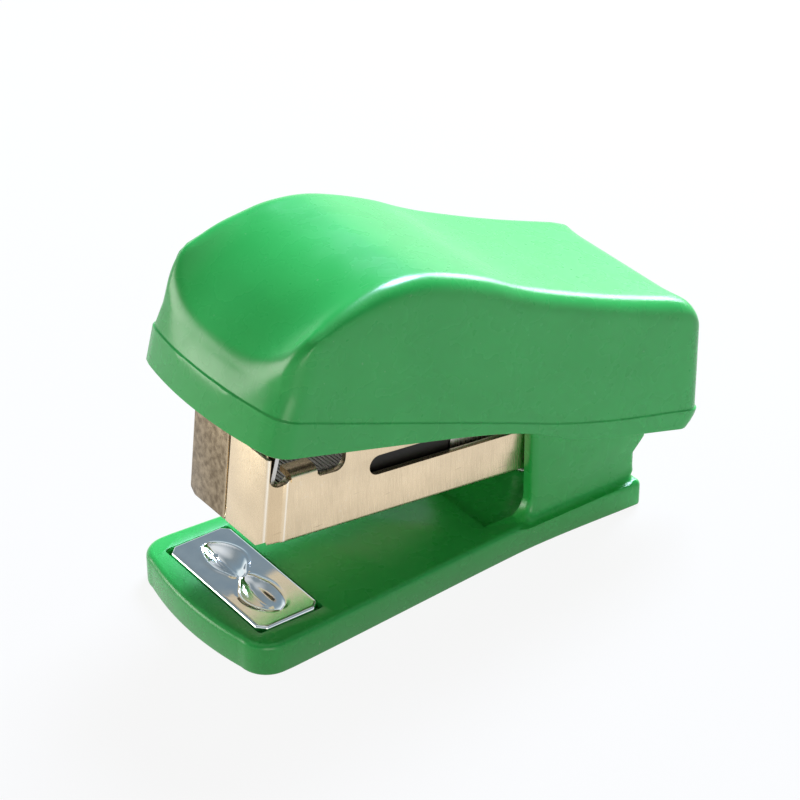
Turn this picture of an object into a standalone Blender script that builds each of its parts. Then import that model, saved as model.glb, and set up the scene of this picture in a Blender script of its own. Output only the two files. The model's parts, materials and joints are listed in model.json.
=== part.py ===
"""A pocket stapler, resting open: a plastic base with a post, a folded steel magazine and a plastic cover.

Metres, +Z up. The origin is on the table under the middle of the stapler. The nose points to -X and the
tail to +X. The magazine and the cover swing on one pin along Y. Each has an empty on that pin, and the
pieces of each are modelled in its empty's frame: X towards the tail, Z up, the origin on the pin's axis.
"""

import math

import bmesh
import bpy
from mathutils import Matrix, Vector

# ---------------------------------------------------------------- driving dimensions (metres, degrees)
CLEARANCE = 0.0003

# layout along the length, from the base's nose to the cover's tail
ANVIL_SETBACK = 0.0074
REACH = 0.0450            # anvil's centre to the hinge pin
COVER_TAIL = 0.0111       # hinge pin to the cover's rear wall, along the cover
TAIL_OVERHANG = 0.0112     # from the pin to the tail, measured level
PIN_HEIGHT = 0.01553
PIN_RADIUS = 0.0011
MAGAZINE_TILT = 6.27      # nose-up at rest
COVER_TILT = 14.9

# base
BASE_THICKNESS = 0.0041
BASE_REAR_DROP = 0.0007   # the top is this much lower at the tail
BASE_HALF_FRONT = 0.0124
BASE_HALF_WAIST = 0.0104
BASE_HALF_REAR = 0.0109
BASE_NOSE_BULGE = 0.0010
BASE_CORNER = 0.0034
BASE_EDGE = 0.0007
RECESS_DEPTH = 0.0014     # hollow under the base
RECESS_RIM = 0.0024
RECESS_RIB_HALF = 0.0024    # the rib that crosses it
POST_HALF_WIDTH = 0.0095
POST_LENGTH = 0.0153
POST_TAIL = 0.0035        # hinge pin to the post's rear face
POST_FRONT_TOP = 0.0170
POST_BOSS = 0.0040
POST_BOSS_SETBACK = 0.0010  # the boss is centred this far behind the pin
POST_SHOULDER = 0.0050      # the boss's slope meets the front part of the post this far ahead of the pin
POST_HOOK = ((0.0, 0.0091), (0.0012, 0.0081), (0.0018, 0.0068))  # beyond the rear face, below the pin
POST_HEEL = 0.0005
POST_FILLET = 0.0028
POST_WEB_TOP = 0.0066
POST_FLOOR = 0.0029
POST_REAR_WALL = 0.0019
LIFT_PEG_RADIUS = 0.0012
LIFT_PEG_HEIGHT = 0.0015

# anvil
ANVIL_LENGTH = 0.0081
ANVIL_WIDTH = 0.0188
ANVIL_TOP = 0.0044
ANVIL_SKIRT = 0.0012
ANVIL_SHEET = 0.0005
ANVIL_CHAMFER = 0.0010
ANVIL_POCKET = (0.0021, 0.0036, 0.0007)
ANVIL_POCKET_OFFSET = 0.0037
ANVIL_POCKET_RISE = 0.0002
ANVIL_RECESS_GAP = 0.0004
ANVIL_LEG_WIDTH = 0.0030
ANVIL_LEG_OFFSET = 0.0060

# magazine: a folded channel, closed at the front by two flaps
MAGAZINE_HALF = 0.0075
MAGAZINE_SHEET = 0.0007
MAGAZINE_FLOOR = 0.0006
MAGAZINE_WALL = 0.0104
MAGAZINE_SETBACK = 0.0020  # its front lies this far ahead of the anvil's centre, measured level
MAGAZINE_TAIL = 0.0045
PIN_ABOVE_FLOOR = 0.0075
FLAP_TOP = 0.0106
FLAP_DROP = 0.0004
SEAM = 0.0003
EXIT_LENGTH = 0.0019       # the gap that a staple leaves by
RELIEF_END = 0.0028
RELIEF_BOTTOM = 0.0071
TAB_END = 0.00645
TAB_TOP = 0.0077
TAB_REACH = 0.0022
NOTCH_END = 0.0100
SLOT_START = 0.0134
SLOT_END = 0.0380
SLOT_BOTTOM = 0.0051
SLOT_TOP = 0.00755

# rail, staples and pusher
RAIL_HALF = 0.00565
RAIL_SHEET = 0.0007
RAIL_TOP = 0.0060
RAIL_SLOT_HALF = 0.0014
RAIL_CUTAWAY = 0.0380
RAIL_EAR_RADIUS = 0.0026
STAPLE_WIRE = 0.0005
STRIP_LENGTH = 0.0100
PUSHER_LENGTH = 0.0121
PUSHER_HALF = 0.0064
PUSHER_TOP = 0.0076
CARRIAGE_LENGTH = 0.0060
CARRIAGE_SHEET = 0.0005
CARRIAGE_LAP = 0.0090
TONGUE_HALF = 0.0011
ROD_RADIUS = 0.0007
ROD_HEIGHT = 0.0032
STOP_SHEET = 0.0008
STOP_STATION = 0.0418
PUSHER_COIL = (0.00150, 0.00022, 7.0)   # mean radius, wire radius, turns
LIFT_COIL = (0.00250, 0.00030, 4.0)
RETURN_COIL = (0.00240, 0.00030, 5.0)
RETURN_LEG_UP = 0.0115
RETURN_LEG_DOWN = 0.0096
LIFT_STATION = 0.0428

# cover and the steel frame in it
COVER_HALF = 0.0130
COVER_WALL = 0.0012
COVER_EDGE = 0.0023
COVER_NOSE = 0.0071        # the cover's nose beyond the anvil's centre, along the cover
COVER_NOSE_BULGE = 0.0019
COVER_CORNER = 0.0022
COVER_TAIL_CORNER = 0.0012
COVER_TAIL_SLOPE = 0.20
COVER_TAIL_LOWEST = -0.0035  # height of the lower edge at the tail
COVER_TAIL_BULGE = -0.0011   # height at which the tail wall stands furthest out
COVER_TAIL_TUCK = 0.0010
COVER_DISH_HALF = 0.0116     # half the width of the dished part of the nose
TAIL_OPENING_HALF = 0.0100
TAIL_OPENING_TOP = 0.0062
RIB_THICKNESS = 0.0012
RIB_HALF = 0.0090
RIB_SHARES = (0.34, 0.68)  # of the distance from the pin to the blade
LUG_LENGTH = 0.0030
LUG_HEIGHT = 0.0006
FRAME_HALF = 0.0103
FRAME_SHEET = 0.00055
FRAME_ROOF = 0.0008
FRAME_TOP = 0.0045
FRAME_SKIRT = 0.0031
FRAME_REAR = 0.0085
FRAME_EAR = 0.0032
BLADE_HALF = 0.0066
BLADE_SHEET = 0.0005
BLADE_SETBACK = 0.00148    # behind the magazine's front, when pressed
BLADE_LOWEST = 0.0004      # above the magazine's underside, when pressed
BLADE_FLANGE = 0.0070
RIVET_RADIUS = 0.0007
RIVET_HEAD = 0.0013
RIVET_HEAD_HEIGHT = 0.0005
RIVET_OFFSET = 0.0030
RIVET_HOLE_LENGTH = 0.0040
PIN_HEAD_RADIUS = 0.0024
PIN_HEAD = 0.00045

# ---------------------------------------------------------------- places that follow
OVERALL = ANVIL_SETBACK + REACH + TAIL_OVERHANG
NOSE_X = -OVERALL / 2
ANVIL_X = NOSE_X + ANVIL_SETBACK
PIN_X = ANVIL_X + REACH
TAIL_X = PIN_X + POST_TAIL
POST_X = TAIL_X - POST_LENGTH
TILT = math.radians(MAGAZINE_TILT)
FRONT = -(REACH + MAGAZINE_SETBACK - PIN_ABOVE_FLOOR * math.sin(TILT)) / math.cos(TILT)
FLOOR = -PIN_ABOVE_FLOOR
COVER_REACH = REACH + COVER_NOSE
PUSHER_START = FRONT + MAGAZINE_SHEET + EXIT_LENGTH + STRIP_LENGTH + CLEARANCE
CARRIAGE_START = PUSHER_START + PUSHER_LENGTH + CLEARANCE
CARRIAGE_END = CARRIAGE_START + CARRIAGE_LENGTH
BLADE_X = FRONT + BLADE_SETBACK
FRAME_INNER = FRAME_HALF - FRAME_SHEET

GREEN = (0.035, 0.42, 0.10)
STEEL = (0.62, 0.57, 0.50)
BRIGHT = (0.80, 0.82, 0.84)
BLACK = (0.012, 0.012, 0.014)


# ---------------------------------------------------------------- scene and helpers
def clear_scene():
    for obj in list(bpy.data.objects):
        bpy.data.objects.remove(obj)


def new_collection(name, hidden=False):
    made = bpy.data.collections.new(name)
    bpy.context.scene.collection.children.link(made)
    made.hide_render = hidden
    return made


def material(name, colour, roughness, metallic):
    made = bpy.data.materials.new(name)
    made.use_nodes = True
    shader = made.node_tree.nodes["Principled BSDF"]
    shader.inputs["Base Color"].default_value = (*colour, 1)
    shader.inputs["Roughness"].default_value = roughness
    shader.inputs["Metallic"].default_value = metallic
    return made


def empty(name, location, tilt=0.0, parent=None):
    made = bpy.data.objects.new(name, None)
    PARTS.objects.link(made)
    made.location = location
    made.rotation_euler = (0, math.radians(tilt), 0)
    made.parent = parent
    return made


def place(name, data, parent, finish):
    """A sub-part in the frame of its empty, with a material of its own."""
    made = bpy.data.objects.new(name, data)
    PARTS.objects.link(made)
    made.parent = parent
    made.data.materials.clear()
    made.data.materials.append(material(name, *finish))
    if made.type == "MESH":
        made.data.shade_smooth()
        made.data.set_sharp_from_angle(angle=math.radians(35))
    return made


def join(target, data, operation):
    """A Boolean on a sub-part, with a helper shape in the same frame."""
    helper = bpy.data.objects.new(f"{target.name}_{operation.lower()}_{len(target.modifiers)}", data)
    CUTTERS.objects.link(helper)
    helper.parent = target.parent
    helper.hide_render = True
    helper.display_type = "WIRE"
    modifier = target.modifiers.new(helper.name, "BOOLEAN")
    modifier.operation = operation
    modifier.object = helper


def add(target, data):
    join(target, data, "UNION")


def cut(target, data):
    join(target, data, "DIFFERENCE")


def mesh_from(bm, name):
    made = bpy.data.meshes.new(name)
    bmesh.ops.recalc_face_normals(bm, faces=bm.faces)
    bm.to_mesh(made)
    bm.free()
    return made


def box(low, high):
    bm = bmesh.new()
    low, high = Vector(low), Vector(high)
    size = Matrix.Diagonal((*(high - low), 1))
    bmesh.ops.create_cube(bm, size=1, matrix=Matrix.Translation((low + high) / 2) @ size)
    return mesh_from(bm, "box")


def cylinder(centre, axis, radius, length, sides=24):
    bm = bmesh.new()
    turn = Vector(axis).to_track_quat("Z", "Y").to_matrix().to_4x4()
    bmesh.ops.create_cone(
        bm, cap_ends=True, segments=sides, radius1=radius, radius2=radius, depth=length,
        matrix=Matrix.Translation(centre) @ turn,
    )
    return mesh_from(bm, "cylinder")


def outline_solid(points, low, high, across="Y"):
    """A flat outline given a thickness: (x, z) points along Y, or (x, y) points along Z."""
    curve = bpy.data.curves.new("outline", "CURVE")
    curve.dimensions = "2D"
    curve.fill_mode = "BOTH"
    curve.extrude = (high - low) / 2
    spline = curve.splines.new("POLY")
    spline.points.add(len(points) - 1)
    spline.use_cyclic_u = True
    for point, (u, v) in zip(spline.points, points):
        point.co = (u, v, 0, 1)
    guide = bpy.data.objects.new("outline", curve)
    CUTTERS.objects.link(guide)
    middle = (low + high) / 2
    if across == "Y":
        guide.matrix_world = Matrix.Translation((0, middle, 0)) @ Matrix.Rotation(math.pi / 2, 4, "X")
    else:
        guide.matrix_world = Matrix.Translation((0, 0, middle))
    bpy.context.view_layer.update()
    graph = bpy.context.evaluated_depsgraph_get()
    made = bpy.data.meshes.new_from_object(guide.evaluated_get(graph))
    made.transform(guide.matrix_world)
    bpy.data.objects.remove(guide)
    bm = bmesh.new()
    bm.from_mesh(made)
    bmesh.ops.remove_doubles(bm, verts=bm.verts, dist=1e-6)
    bmesh.ops.recalc_face_normals(bm, faces=bm.faces)
    bm.to_mesh(made)
    bm.free()
    return made


def wire(points, radius):
    """A round wire through the points."""
    curve = bpy.data.curves.new("wire", "CURVE")
    curve.dimensions = "3D"
    curve.bevel_depth = radius
    curve.bevel_resolution = 2
    curve.use_fill_caps = True
    spline = curve.splines.new("POLY")
    spline.points.add(len(points) - 1)
    for point, place_at in zip(spline.points, points):
        point.co = (*place_at, 1)
    return curve


def arc(centre, radius, start, end, steps):
    """Points from one angle to another, in degrees."""
    found = []
    for i in range(steps + 1):
        angle = math.radians(start + (end - start) * i / steps)
        found.append((centre[0] + radius * math.cos(angle), centre[1] + radius * math.sin(angle)))
    return found


def smooth(knots, at):
    """The value at a place, on a smooth curve through (place, value) knots in rising order."""
    at = min(max(at, knots[0][0]), knots[-1][0])
    i = next(k for k in range(len(knots) - 1) if at <= knots[k + 1][0])

    def slope(k):
        k = min(max(k, 1), len(knots) - 2)
        return (knots[k + 1][1] - knots[k - 1][1]) / (knots[k + 1][0] - knots[k - 1][0])

    (x0, y0), (x1, y1) = knots[i], knots[i + 1]
    span = x1 - x0
    u = (at - x0) / span
    a = slope(i) * span - (y1 - y0)
    b = -slope(i + 1) * span + (y1 - y0)
    return (1 - u) * y0 + u * y1 + u * (1 - u) * ((1 - u) * a + u * b)


def coil(start, end, radius, turns, steps=14):
    """Points of a helix about the line from start to end."""
    start, end = Vector(start), Vector(end)
    turn = (end - start).to_track_quat("Z", "Y")
    count = round(turns * steps)
    found = []
    for i in range(count + 1):
        angle = 2 * math.pi * turns * i / count
        ring = turn @ Vector((radius * math.cos(angle), radius * math.sin(angle), 0))
        found.append(start.lerp(end, i / count) + ring)
    return found


# ---------------------------------------------------------------- base
def base_half_width(x):
    """Half the base's width at a place along it."""
    length = TAIL_X - NOSE_X
    knots = [
        (NOSE_X, BASE_HALF_FRONT),
        (NOSE_X + 0.10 * length, BASE_HALF_FRONT),
        (NOSE_X + 0.68 * length, BASE_HALF_WAIST),
        (NOSE_X + 0.80 * length, BASE_HALF_WAIST),
        (TAIL_X, BASE_HALF_REAR),
    ]
    return smooth(knots, x)


def base_outline():
    corner_x = NOSE_X + BASE_NOSE_BULGE + BASE_CORNER
    side = BASE_HALF_FRONT - BASE_CORNER
    half = [(NOSE_X, 0), (NOSE_X + BASE_NOSE_BULGE * 0.35, side * 0.6)]
    half += arc((corner_x, side), BASE_CORNER, 180, 90, 6)
    stations = 7
    for i in range(1, stations + 1):
        x = corner_x + (TAIL_X - BASE_EDGE - corner_x) * i / stations
        half.append((x, base_half_width(x)))
    half.append((TAIL_X, BASE_HALF_REAR - BASE_EDGE))
    return half + [(x, -y) for x, y in reversed(half) if y > 0]


def post_outline():
    """The post from the side: a front fillet, a shoulder, the boss about the pin and a flared rear edge."""
    root = BASE_THICKNESS - BASE_REAR_DROP - CLEARANCE
    fillet_centre = (POST_X - POST_FILLET, root + CLEARANCE + POST_FILLET)
    points = [(TAIL_X - POST_HEEL, root), (TAIL_X, root + POST_HEEL)]
    points += [(TAIL_X + out, PIN_HEIGHT - below) for out, below in POST_HOOK]
    points += arc((PIN_X + POST_BOSS_SETBACK, PIN_HEIGHT), POST_BOSS, 0, 150, 8)
    points += [(PIN_X - POST_SHOULDER, POST_FRONT_TOP), (POST_X, POST_FRONT_TOP)]
    points += arc(fillet_centre, POST_FILLET, 0, -90, 5)
    points += [(POST_X - POST_FILLET, root)]
    return points


def make_base():
    plate = outline_solid(base_outline(), 0, BASE_THICKNESS, "Z")
    for vertex in plate.vertices:
        if vertex.co.z > BASE_THICKNESS / 2:
            vertex.co.z -= BASE_REAR_DROP * (vertex.co.x - NOSE_X) / (TAIL_X - NOSE_X)
    base = place("base", plate, None, (GREEN, 0.35, 0))
    edge = base.modifiers.new("edge", "BEVEL")
    edge.width = BASE_EDGE
    edge.segments = 2
    edge.limit_method = "ANGLE"
    edge.angle_limit = math.radians(60)
    add(base, outline_solid(post_outline(), -POST_HALF_WIDTH, POST_HALF_WIDTH))
    inside = MAGAZINE_HALF + CLEARANCE
    high = PIN_HEIGHT + 2 * POST_BOSS
    ahead, behind = POST_X - 2 * POST_FILLET, TAIL_X + 2 * POST_TAIL
    cut(base, box((ahead, -inside, POST_FLOOR), (TAIL_X - POST_REAR_WALL, inside, high)))
    cut(base, box((PIN_X, -inside, POST_WEB_TOP), (behind, inside, high)))
    cut(base, cylinder((PIN_X, 0, PIN_HEIGHT), (0, 1, 0), PIN_RADIUS + CLEARANCE, 3 * POST_HALF_WIDTH))
    lift_x = magazine_to_world(FRONT + LIFT_STATION, FLOOR).x
    peg = (lift_x, 0, POST_FLOOR + LIFT_PEG_HEIGHT / 2 - CLEARANCE)
    add(base, cylinder(peg, (0, 0, 1), LIFT_PEG_RADIUS, LIFT_PEG_HEIGHT + CLEARANCE, 16))
    gap = ANVIL_RECESS_GAP
    half_x = ANVIL_LENGTH / 2 + gap
    half_y = ANVIL_WIDTH / 2 + gap
    recess_floor = ANVIL_TOP - ANVIL_SKIRT - CLEARANCE
    cut(base, box((ANVIL_X - half_x, -half_y, recess_floor), (ANVIL_X + half_x, half_y, 2 * ANVIL_TOP)))
    rib, rim = RECESS_RIB_HALF, RECESS_RIM
    pockets = (
        (NOSE_X + rim + BASE_CORNER / 2, -rib, BASE_HALF_FRONT - rim - BASE_CORNER / 3),
        (rib, TAIL_X - rim, BASE_HALF_WAIST - rim),
    )
    for start, end, half in pockets:
        cut(base, box((start, -half, -RECESS_DEPTH), (end, half, RECESS_DEPTH)))
    for side in (-1, 1):
        slot = Vector((ANVIL_LEG_WIDTH / 2 + CLEARANCE, ANVIL_SHEET / 2 + CLEARANCE, BASE_THICKNESS))
        centre = Vector((ANVIL_X, side * ANVIL_LEG_OFFSET, BASE_THICKNESS / 2))
        cut(base, box(centre - slot, centre + slot))


def anvil_outline(inset):
    """The plate's outline with clipped corners, or the same outline moved inwards."""
    x, y = ANVIL_LENGTH / 2 - inset, ANVIL_WIDTH / 2 - inset
    clip = ANVIL_CHAMFER - inset * (2 - math.sqrt(2))
    corner = [(x, y - clip), (x - clip, y)]
    half = corner + [(-u, v) for u, v in reversed(corner)]
    whole = half + [(u, -v) for u, v in reversed(half)]
    return [(ANVIL_X + u, v) for u, v in whole]


def make_anvil():
    """A pressed plate with turned-down edges, two crimping pockets and two legs bent under the base."""
    plate = outline_solid(anvil_outline(0), ANVIL_TOP - ANVIL_SKIRT, ANVIL_TOP, "Z")
    anvil = place("anvil_plate", plate, None, (BRIGHT, 0.15, 1))
    under = ANVIL_TOP - ANVIL_SHEET - ANVIL_POCKET[2] * 0.3
    cut(anvil, outline_solid(anvil_outline(ANVIL_SHEET), 0, under, "Z"))
    for side in (-1, 1):
        bm = bmesh.new()
        size = Matrix.Diagonal((*ANVIL_POCKET, 1))
        centre = Matrix.Translation((ANVIL_X, side * ANVIL_POCKET_OFFSET, ANVIL_TOP + ANVIL_POCKET_RISE))
        bmesh.ops.create_uvsphere(bm, u_segments=20, v_segments=10, radius=1, matrix=centre @ size)
        cut(anvil, mesh_from(bm, "pocket"))
        y = side * ANVIL_LEG_OFFSET
        foot = RECESS_DEPTH - CLEARANCE - ANVIL_SHEET
        half = ANVIL_LEG_WIDTH / 2
        thick = ANVIL_SHEET / 2
        add(anvil, box((ANVIL_X - half, y - thick, foot), (ANVIL_X + half, y + thick, under + thick)))
        reach = y - side * ANVIL_LEG_WIDTH
        low, high = sorted((y + side * thick, reach))
        add(anvil, box((ANVIL_X - half, low, foot), (ANVIL_X + half, high, foot + ANVIL_SHEET)))


# ---------------------------------------------------------------- magazine
def magazine_to_world(x, z):
    turned = Matrix.Rotation(TILT, 3, "Y") @ Vector((x, 0, z))
    return Vector((PIN_X, 0, PIN_HEIGHT)) + turned


def make_magazine(pivot):
    outer, inner = MAGAZINE_HALF, MAGAZINE_HALF - MAGAZINE_SHEET
    floor = FLOOR + MAGAZINE_FLOOR
    back = FRONT + MAGAZINE_SHEET
    magazine = place(
        "magazine", box((FRONT, -outer, FLOOR - FLAP_DROP), (MAGAZINE_TAIL, outer, FLOOR + FLAP_TOP)),
        pivot, (STEEL, 0.3, 1),
    )
    far = 2 * MAGAZINE_TAIL
    cut(magazine, box((back, -inner, floor), (far, inner, FLOOR + 2 * FLAP_TOP)))
    cut(magazine, box((back, -2 * outer, FLOOR - 2 * FLAP_DROP), (far, 2 * outer, FLOOR)))
    cut(magazine, box((back, -2 * outer, FLOOR + MAGAZINE_WALL), (far, 2 * outer, FLOOR + 2 * FLAP_TOP)))
    cut(magazine, box((back, -inner, -far), (back + EXIT_LENGTH, inner, FLOOR + 2 * MAGAZINE_FLOOR)))
    cut(magazine, box((-far + FRONT, -SEAM / 2, -far), (back + CLEARANCE, SEAM / 2, far)))
    high = FLOOR + 2 * FLAP_TOP
    for side in (-1, 1):
        low_y, high_y = sorted((side * (inner - CLEARANCE), side * 2 * outer))
        for start, end, bottom in (
            (back, FRONT + RELIEF_END, RELIEF_BOTTOM),
            (FRONT + RELIEF_END - CLEARANCE, FRONT + TAB_END + CLEARANCE, TAB_TOP),
            (FRONT + TAB_END, FRONT + NOTCH_END, RELIEF_BOTTOM),
        ):
            cut(magazine, box((start, low_y, FLOOR + bottom), (end, high_y, high)))
        low_y, high_y = sorted((side * (outer - TAB_REACH), side * outer))
        tab = FLOOR + TAB_TOP
        low = (FRONT + RELIEF_END + CLEARANCE, low_y, tab - CLEARANCE)
        add(magazine, box(low, (FRONT + TAB_END, high_y, tab + MAGAZINE_SHEET)))
    low = (FRONT + SLOT_START, -2 * outer, FLOOR + SLOT_BOTTOM)
    cut(magazine, box(low, (FRONT + SLOT_END, 2 * outer, FLOOR + SLOT_TOP)))
    cut(magazine, cylinder((0, 0, 0), (0, 1, 0), PIN_RADIUS + CLEARANCE, 4 * outer))


def make_rail(pivot):
    """The inverted channel that the staples straddle, with two ears that hang it on the pin."""
    outer, inner = RAIL_HALF, RAIL_HALF - RAIL_SHEET
    start = FRONT + MAGAZINE_SHEET + EXIT_LENGTH
    bottom = FLOOR + MAGAZINE_FLOOR + CLEARANCE
    top = FLOOR + RAIL_TOP
    rail = place("staple_rail", box((start, -outer, bottom), (MAGAZINE_TAIL - CLEARANCE, outer, top)),
                 pivot, (STEEL, 0.35, 1))
    far = 2 * MAGAZINE_TAIL
    for side in (-1, 1):
        low, high = sorted((side * (inner + CLEARANCE / 3), side * (outer - CLEARANCE / 3)))
        root = top - 3 * RAIL_SHEET
        ear = arc((0, 0), RAIL_EAR_RADIUS, 0, 180, 10)
        ear += [(-1.2 * RAIL_EAR_RADIUS, root), (RAIL_EAR_RADIUS, root)]
        add(rail, outline_solid(ear, low, high))
    cut(rail, box((start + RAIL_SHEET, -inner, bottom - far), (far, inner, top - RAIL_SHEET)))
    slot_start = CARRIAGE_END - RAIL_SHEET * 3
    slot_end = FRONT + RAIL_CUTAWAY + RAIL_SHEET
    cut(rail, box((slot_start, -RAIL_SLOT_HALF, FLOOR), (slot_end, RAIL_SLOT_HALF, 0)))
    lip = inner - CLEARANCE / 3
    cut(rail, box((FRONT + RAIL_CUTAWAY, -lip, FLOOR), (far, lip, far)))
    cut(rail, cylinder((0, 0, 0), (0, 1, 0), PIN_RADIUS + CLEARANCE, 4 * outer))
    rod_hole = (start, 0, FLOOR + ROD_HEIGHT)
    cut(rail, cylinder(rod_hole, (1, 0, 0), ROD_RADIUS + CLEARANCE, 4 * RAIL_SHEET, 16))


def make_strip(pivot):
    """A strip of staples, as one block astride the rail."""
    start = FRONT + MAGAZINE_SHEET + EXIT_LENGTH
    top = FLOOR + RAIL_TOP + CLEARANCE + STAPLE_WIRE
    inner = RAIL_HALF + CLEARANCE
    outer = inner + STAPLE_WIRE
    bottom = FLOOR + MAGAZINE_FLOOR + CLEARANCE
    strip = place("staple_strip", box((start, -outer, bottom), (start + STRIP_LENGTH, outer, top)),
                  pivot, (BRIGHT, 0.25, 1))
    beyond = start + 2 * STRIP_LENGTH
    cut(strip, box((start - inner, -inner, bottom - inner), (beyond, inner, top - STAPLE_WIRE)))


def make_pusher(slide):
    """The plastic block behind the staples, in the steel carriage that the spring drives."""
    inner = RAIL_HALF + CLEARANCE
    bottom = FLOOR + MAGAZINE_FLOOR + CLEARANCE
    over_rail = FLOOR + RAIL_TOP + CLEARANCE
    top = FLOOR + PUSHER_TOP
    end = PUSHER_START + PUSHER_LENGTH
    block = place("pusher", box((PUSHER_START, -PUSHER_HALF, bottom), (end, PUSHER_HALF, top)),
                  slide, (BLACK, 0.45, 0))
    cut(block, box((PUSHER_START - inner, -inner, bottom - inner), (end + inner, inner, over_rail)))
    rivet_at = (end - CARRIAGE_LAP / 2, 0, top)
    cut(block, cylinder(rivet_at, (0, 0, 1), RIVET_RADIUS + CLEARANCE, 4 * (top - over_rail), 16))

    lid = top + CLEARANCE
    carriage = place(
        "pusher_carriage",
        box((CARRIAGE_START, -PUSHER_HALF, bottom), (CARRIAGE_END, PUSHER_HALF, lid + CARRIAGE_SHEET)),
        slide, (STEEL, 0.3, 1),
    )
    cut(carriage, box((-1, -inner, bottom - inner), (1, inner, lid)))
    lap = box((end - CARRIAGE_LAP, -RAIL_HALF, lid), (CARRIAGE_END, RAIL_HALF, lid + CARRIAGE_SHEET))
    add(carriage, lap)
    cut(carriage, cylinder(rivet_at, (0, 0, 1), RIVET_RADIUS + CLEARANCE, 4 * (top - over_rail), 16))
    tongue_x = CARRIAGE_END - CARRIAGE_SHEET
    tongue_low = FLOOR + MAGAZINE_FLOOR + 2 * CLEARANCE
    tongue_high = lid + CARRIAGE_SHEET / 2
    add(carriage, box((tongue_x, -TONGUE_HALF, tongue_low), (CARRIAGE_END, TONGUE_HALF, tongue_high)))
    rod = (CARRIAGE_END, 0, FLOOR + ROD_HEIGHT)
    cut(carriage, cylinder(rod, (1, 0, 0), ROD_RADIUS + CLEARANCE / 2, 4 * CARRIAGE_SHEET, 16))

    shank_low = over_rail + CLEARANCE / 3
    shank_high = lid + CARRIAGE_SHEET + CLEARANCE
    middle = (rivet_at[0], 0, (shank_low + shank_high) / 2)
    rivet = place("pusher_rivet", cylinder(middle, (0, 0, 1), RIVET_RADIUS, shank_high - shank_low, 16),
                  slide, (STEEL, 0.3, 1))
    head = (rivet_at[0], 0, shank_high)
    add(rivet, cylinder(head, (0, 0, 1), RIVET_HEAD, RIVET_HEAD_HEIGHT, 16))


def make_rod(pivot):
    """The rod that guides the pusher's spring, and the folded stop that holds its rear end."""
    height = FLOOR + ROD_HEIGHT
    start = FRONT + MAGAZINE_SHEET + EXIT_LENGTH + CLEARANCE
    stop = FRONT + STOP_STATION
    end = stop + STOP_SHEET + 2 * CLEARANCE
    centre = ((start + end) / 2, 0, height)
    place("guide_rod", cylinder(centre, (1, 0, 0), ROD_RADIUS, end - start, 12), pivot, (STEEL, 0.3, 1))
    half = RAIL_HALF - RAIL_SHEET - CLEARANCE
    low = FLOOR + MAGAZINE_FLOOR + CLEARANCE
    plate = place("spring_stop", box((stop, -half, low), (stop + STOP_SHEET, half, FLOOR + SLOT_BOTTOM)),
                  pivot, (STEEL, 0.35, 1))
    add(plate, box((stop, -half, low), (stop + 4 * STOP_SHEET, half, low + STOP_SHEET)))
    cut(plate, cylinder((stop, 0, height), (1, 0, 0), ROD_RADIUS + CLEARANCE / 2, 4 * STOP_SHEET, 16))
    radius, thickness, turns = PUSHER_COIL
    first = CARRIAGE_END + CLEARANCE + thickness
    last = stop - CLEARANCE - thickness
    place("pusher_spring", wire(coil((first, 0, height), (last, 0, height), radius, turns), thickness),
          pivot, (STEEL, 0.3, 1))


# ---------------------------------------------------------------- cover
def along_cover(knots, x):
    """A height at x, from knots placed at shares of the distance from the pin to the nose."""
    return smooth([(share * COVER_REACH, height) for share, height in knots], x)


def cover_top(x):
    """Height of the cover's top along its sides."""
    return along_cover([
        (-1.000, 0.0052), (-0.995, 0.0086), (-0.984, 0.0110), (-0.965, 0.0127), (-0.925, 0.0145),
        (-0.880, 0.0158), (-0.830, 0.0168), (-0.760, 0.0179), (-0.665, 0.0184), (-0.580, 0.0181),
        (-0.475, 0.0172), (-0.385, 0.0160), (-0.300, 0.0151), (-0.120, 0.0137), (0.060, 0.0127),
        (0.215, 0.0120),
    ], x)


def cover_middle(x):
    """Height of the cover's top along its middle, where the nose is dished."""
    return along_cover([
        (-1.000, 0.0050), (-0.992, 0.0057), (-0.984, 0.0064), (-0.965, 0.0078), (-0.927, 0.0105),
        (-0.887, 0.0130), (-0.841, 0.0151), (-0.787, 0.0167), (-0.725, 0.0178), (-0.665, 0.0184),
        (-0.580, 0.0181), (-0.475, 0.0172), (-0.385, 0.0160), (-0.300, 0.0151), (-0.120, 0.0137),
        (0.060, 0.0127), (0.215, 0.0120),
    ], x)


def cover_low(x):
    """Height of the cover's lower edge: level at the nose, with a step down before the post."""
    return along_cover([
        (-1.0, -0.0004), (-0.50, -0.0006), (-0.36, -0.0009), (-0.26, -0.0016), (-0.16, -0.0028),
        (-0.07, -0.0032), (0.215, COVER_TAIL_LOWEST),
    ], x)


def cover_plan():
    """Half the cover's plan, from the nose's middle to the tail's middle."""
    nose = -COVER_REACH
    corner_x = nose + COVER_NOSE_BULGE + COVER_CORNER
    side = COVER_HALF - COVER_CORNER
    shares = (0, 0.35, 0.7)
    half = [(nose + COVER_NOSE_BULGE * (share * side / COVER_HALF) ** 2, share * side) for share in shares]
    half += [(x, abs(y)) for x, y in arc((corner_x, -side), COVER_CORNER, 188, 270, 5)]
    stations = 16
    tail = COVER_TAIL - COVER_TAIL_CORNER
    for i in range(1, stations + 1):
        half.append((corner_x + (tail - corner_x) * i / stations, COVER_HALF))
    half += arc((tail, COVER_HALF - COVER_TAIL_CORNER), COVER_TAIL_CORNER, 60, 0, 2)
    half += [(COVER_TAIL, share * COVER_HALF) for share in (0.6, 0.3, 0)]
    return half


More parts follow.
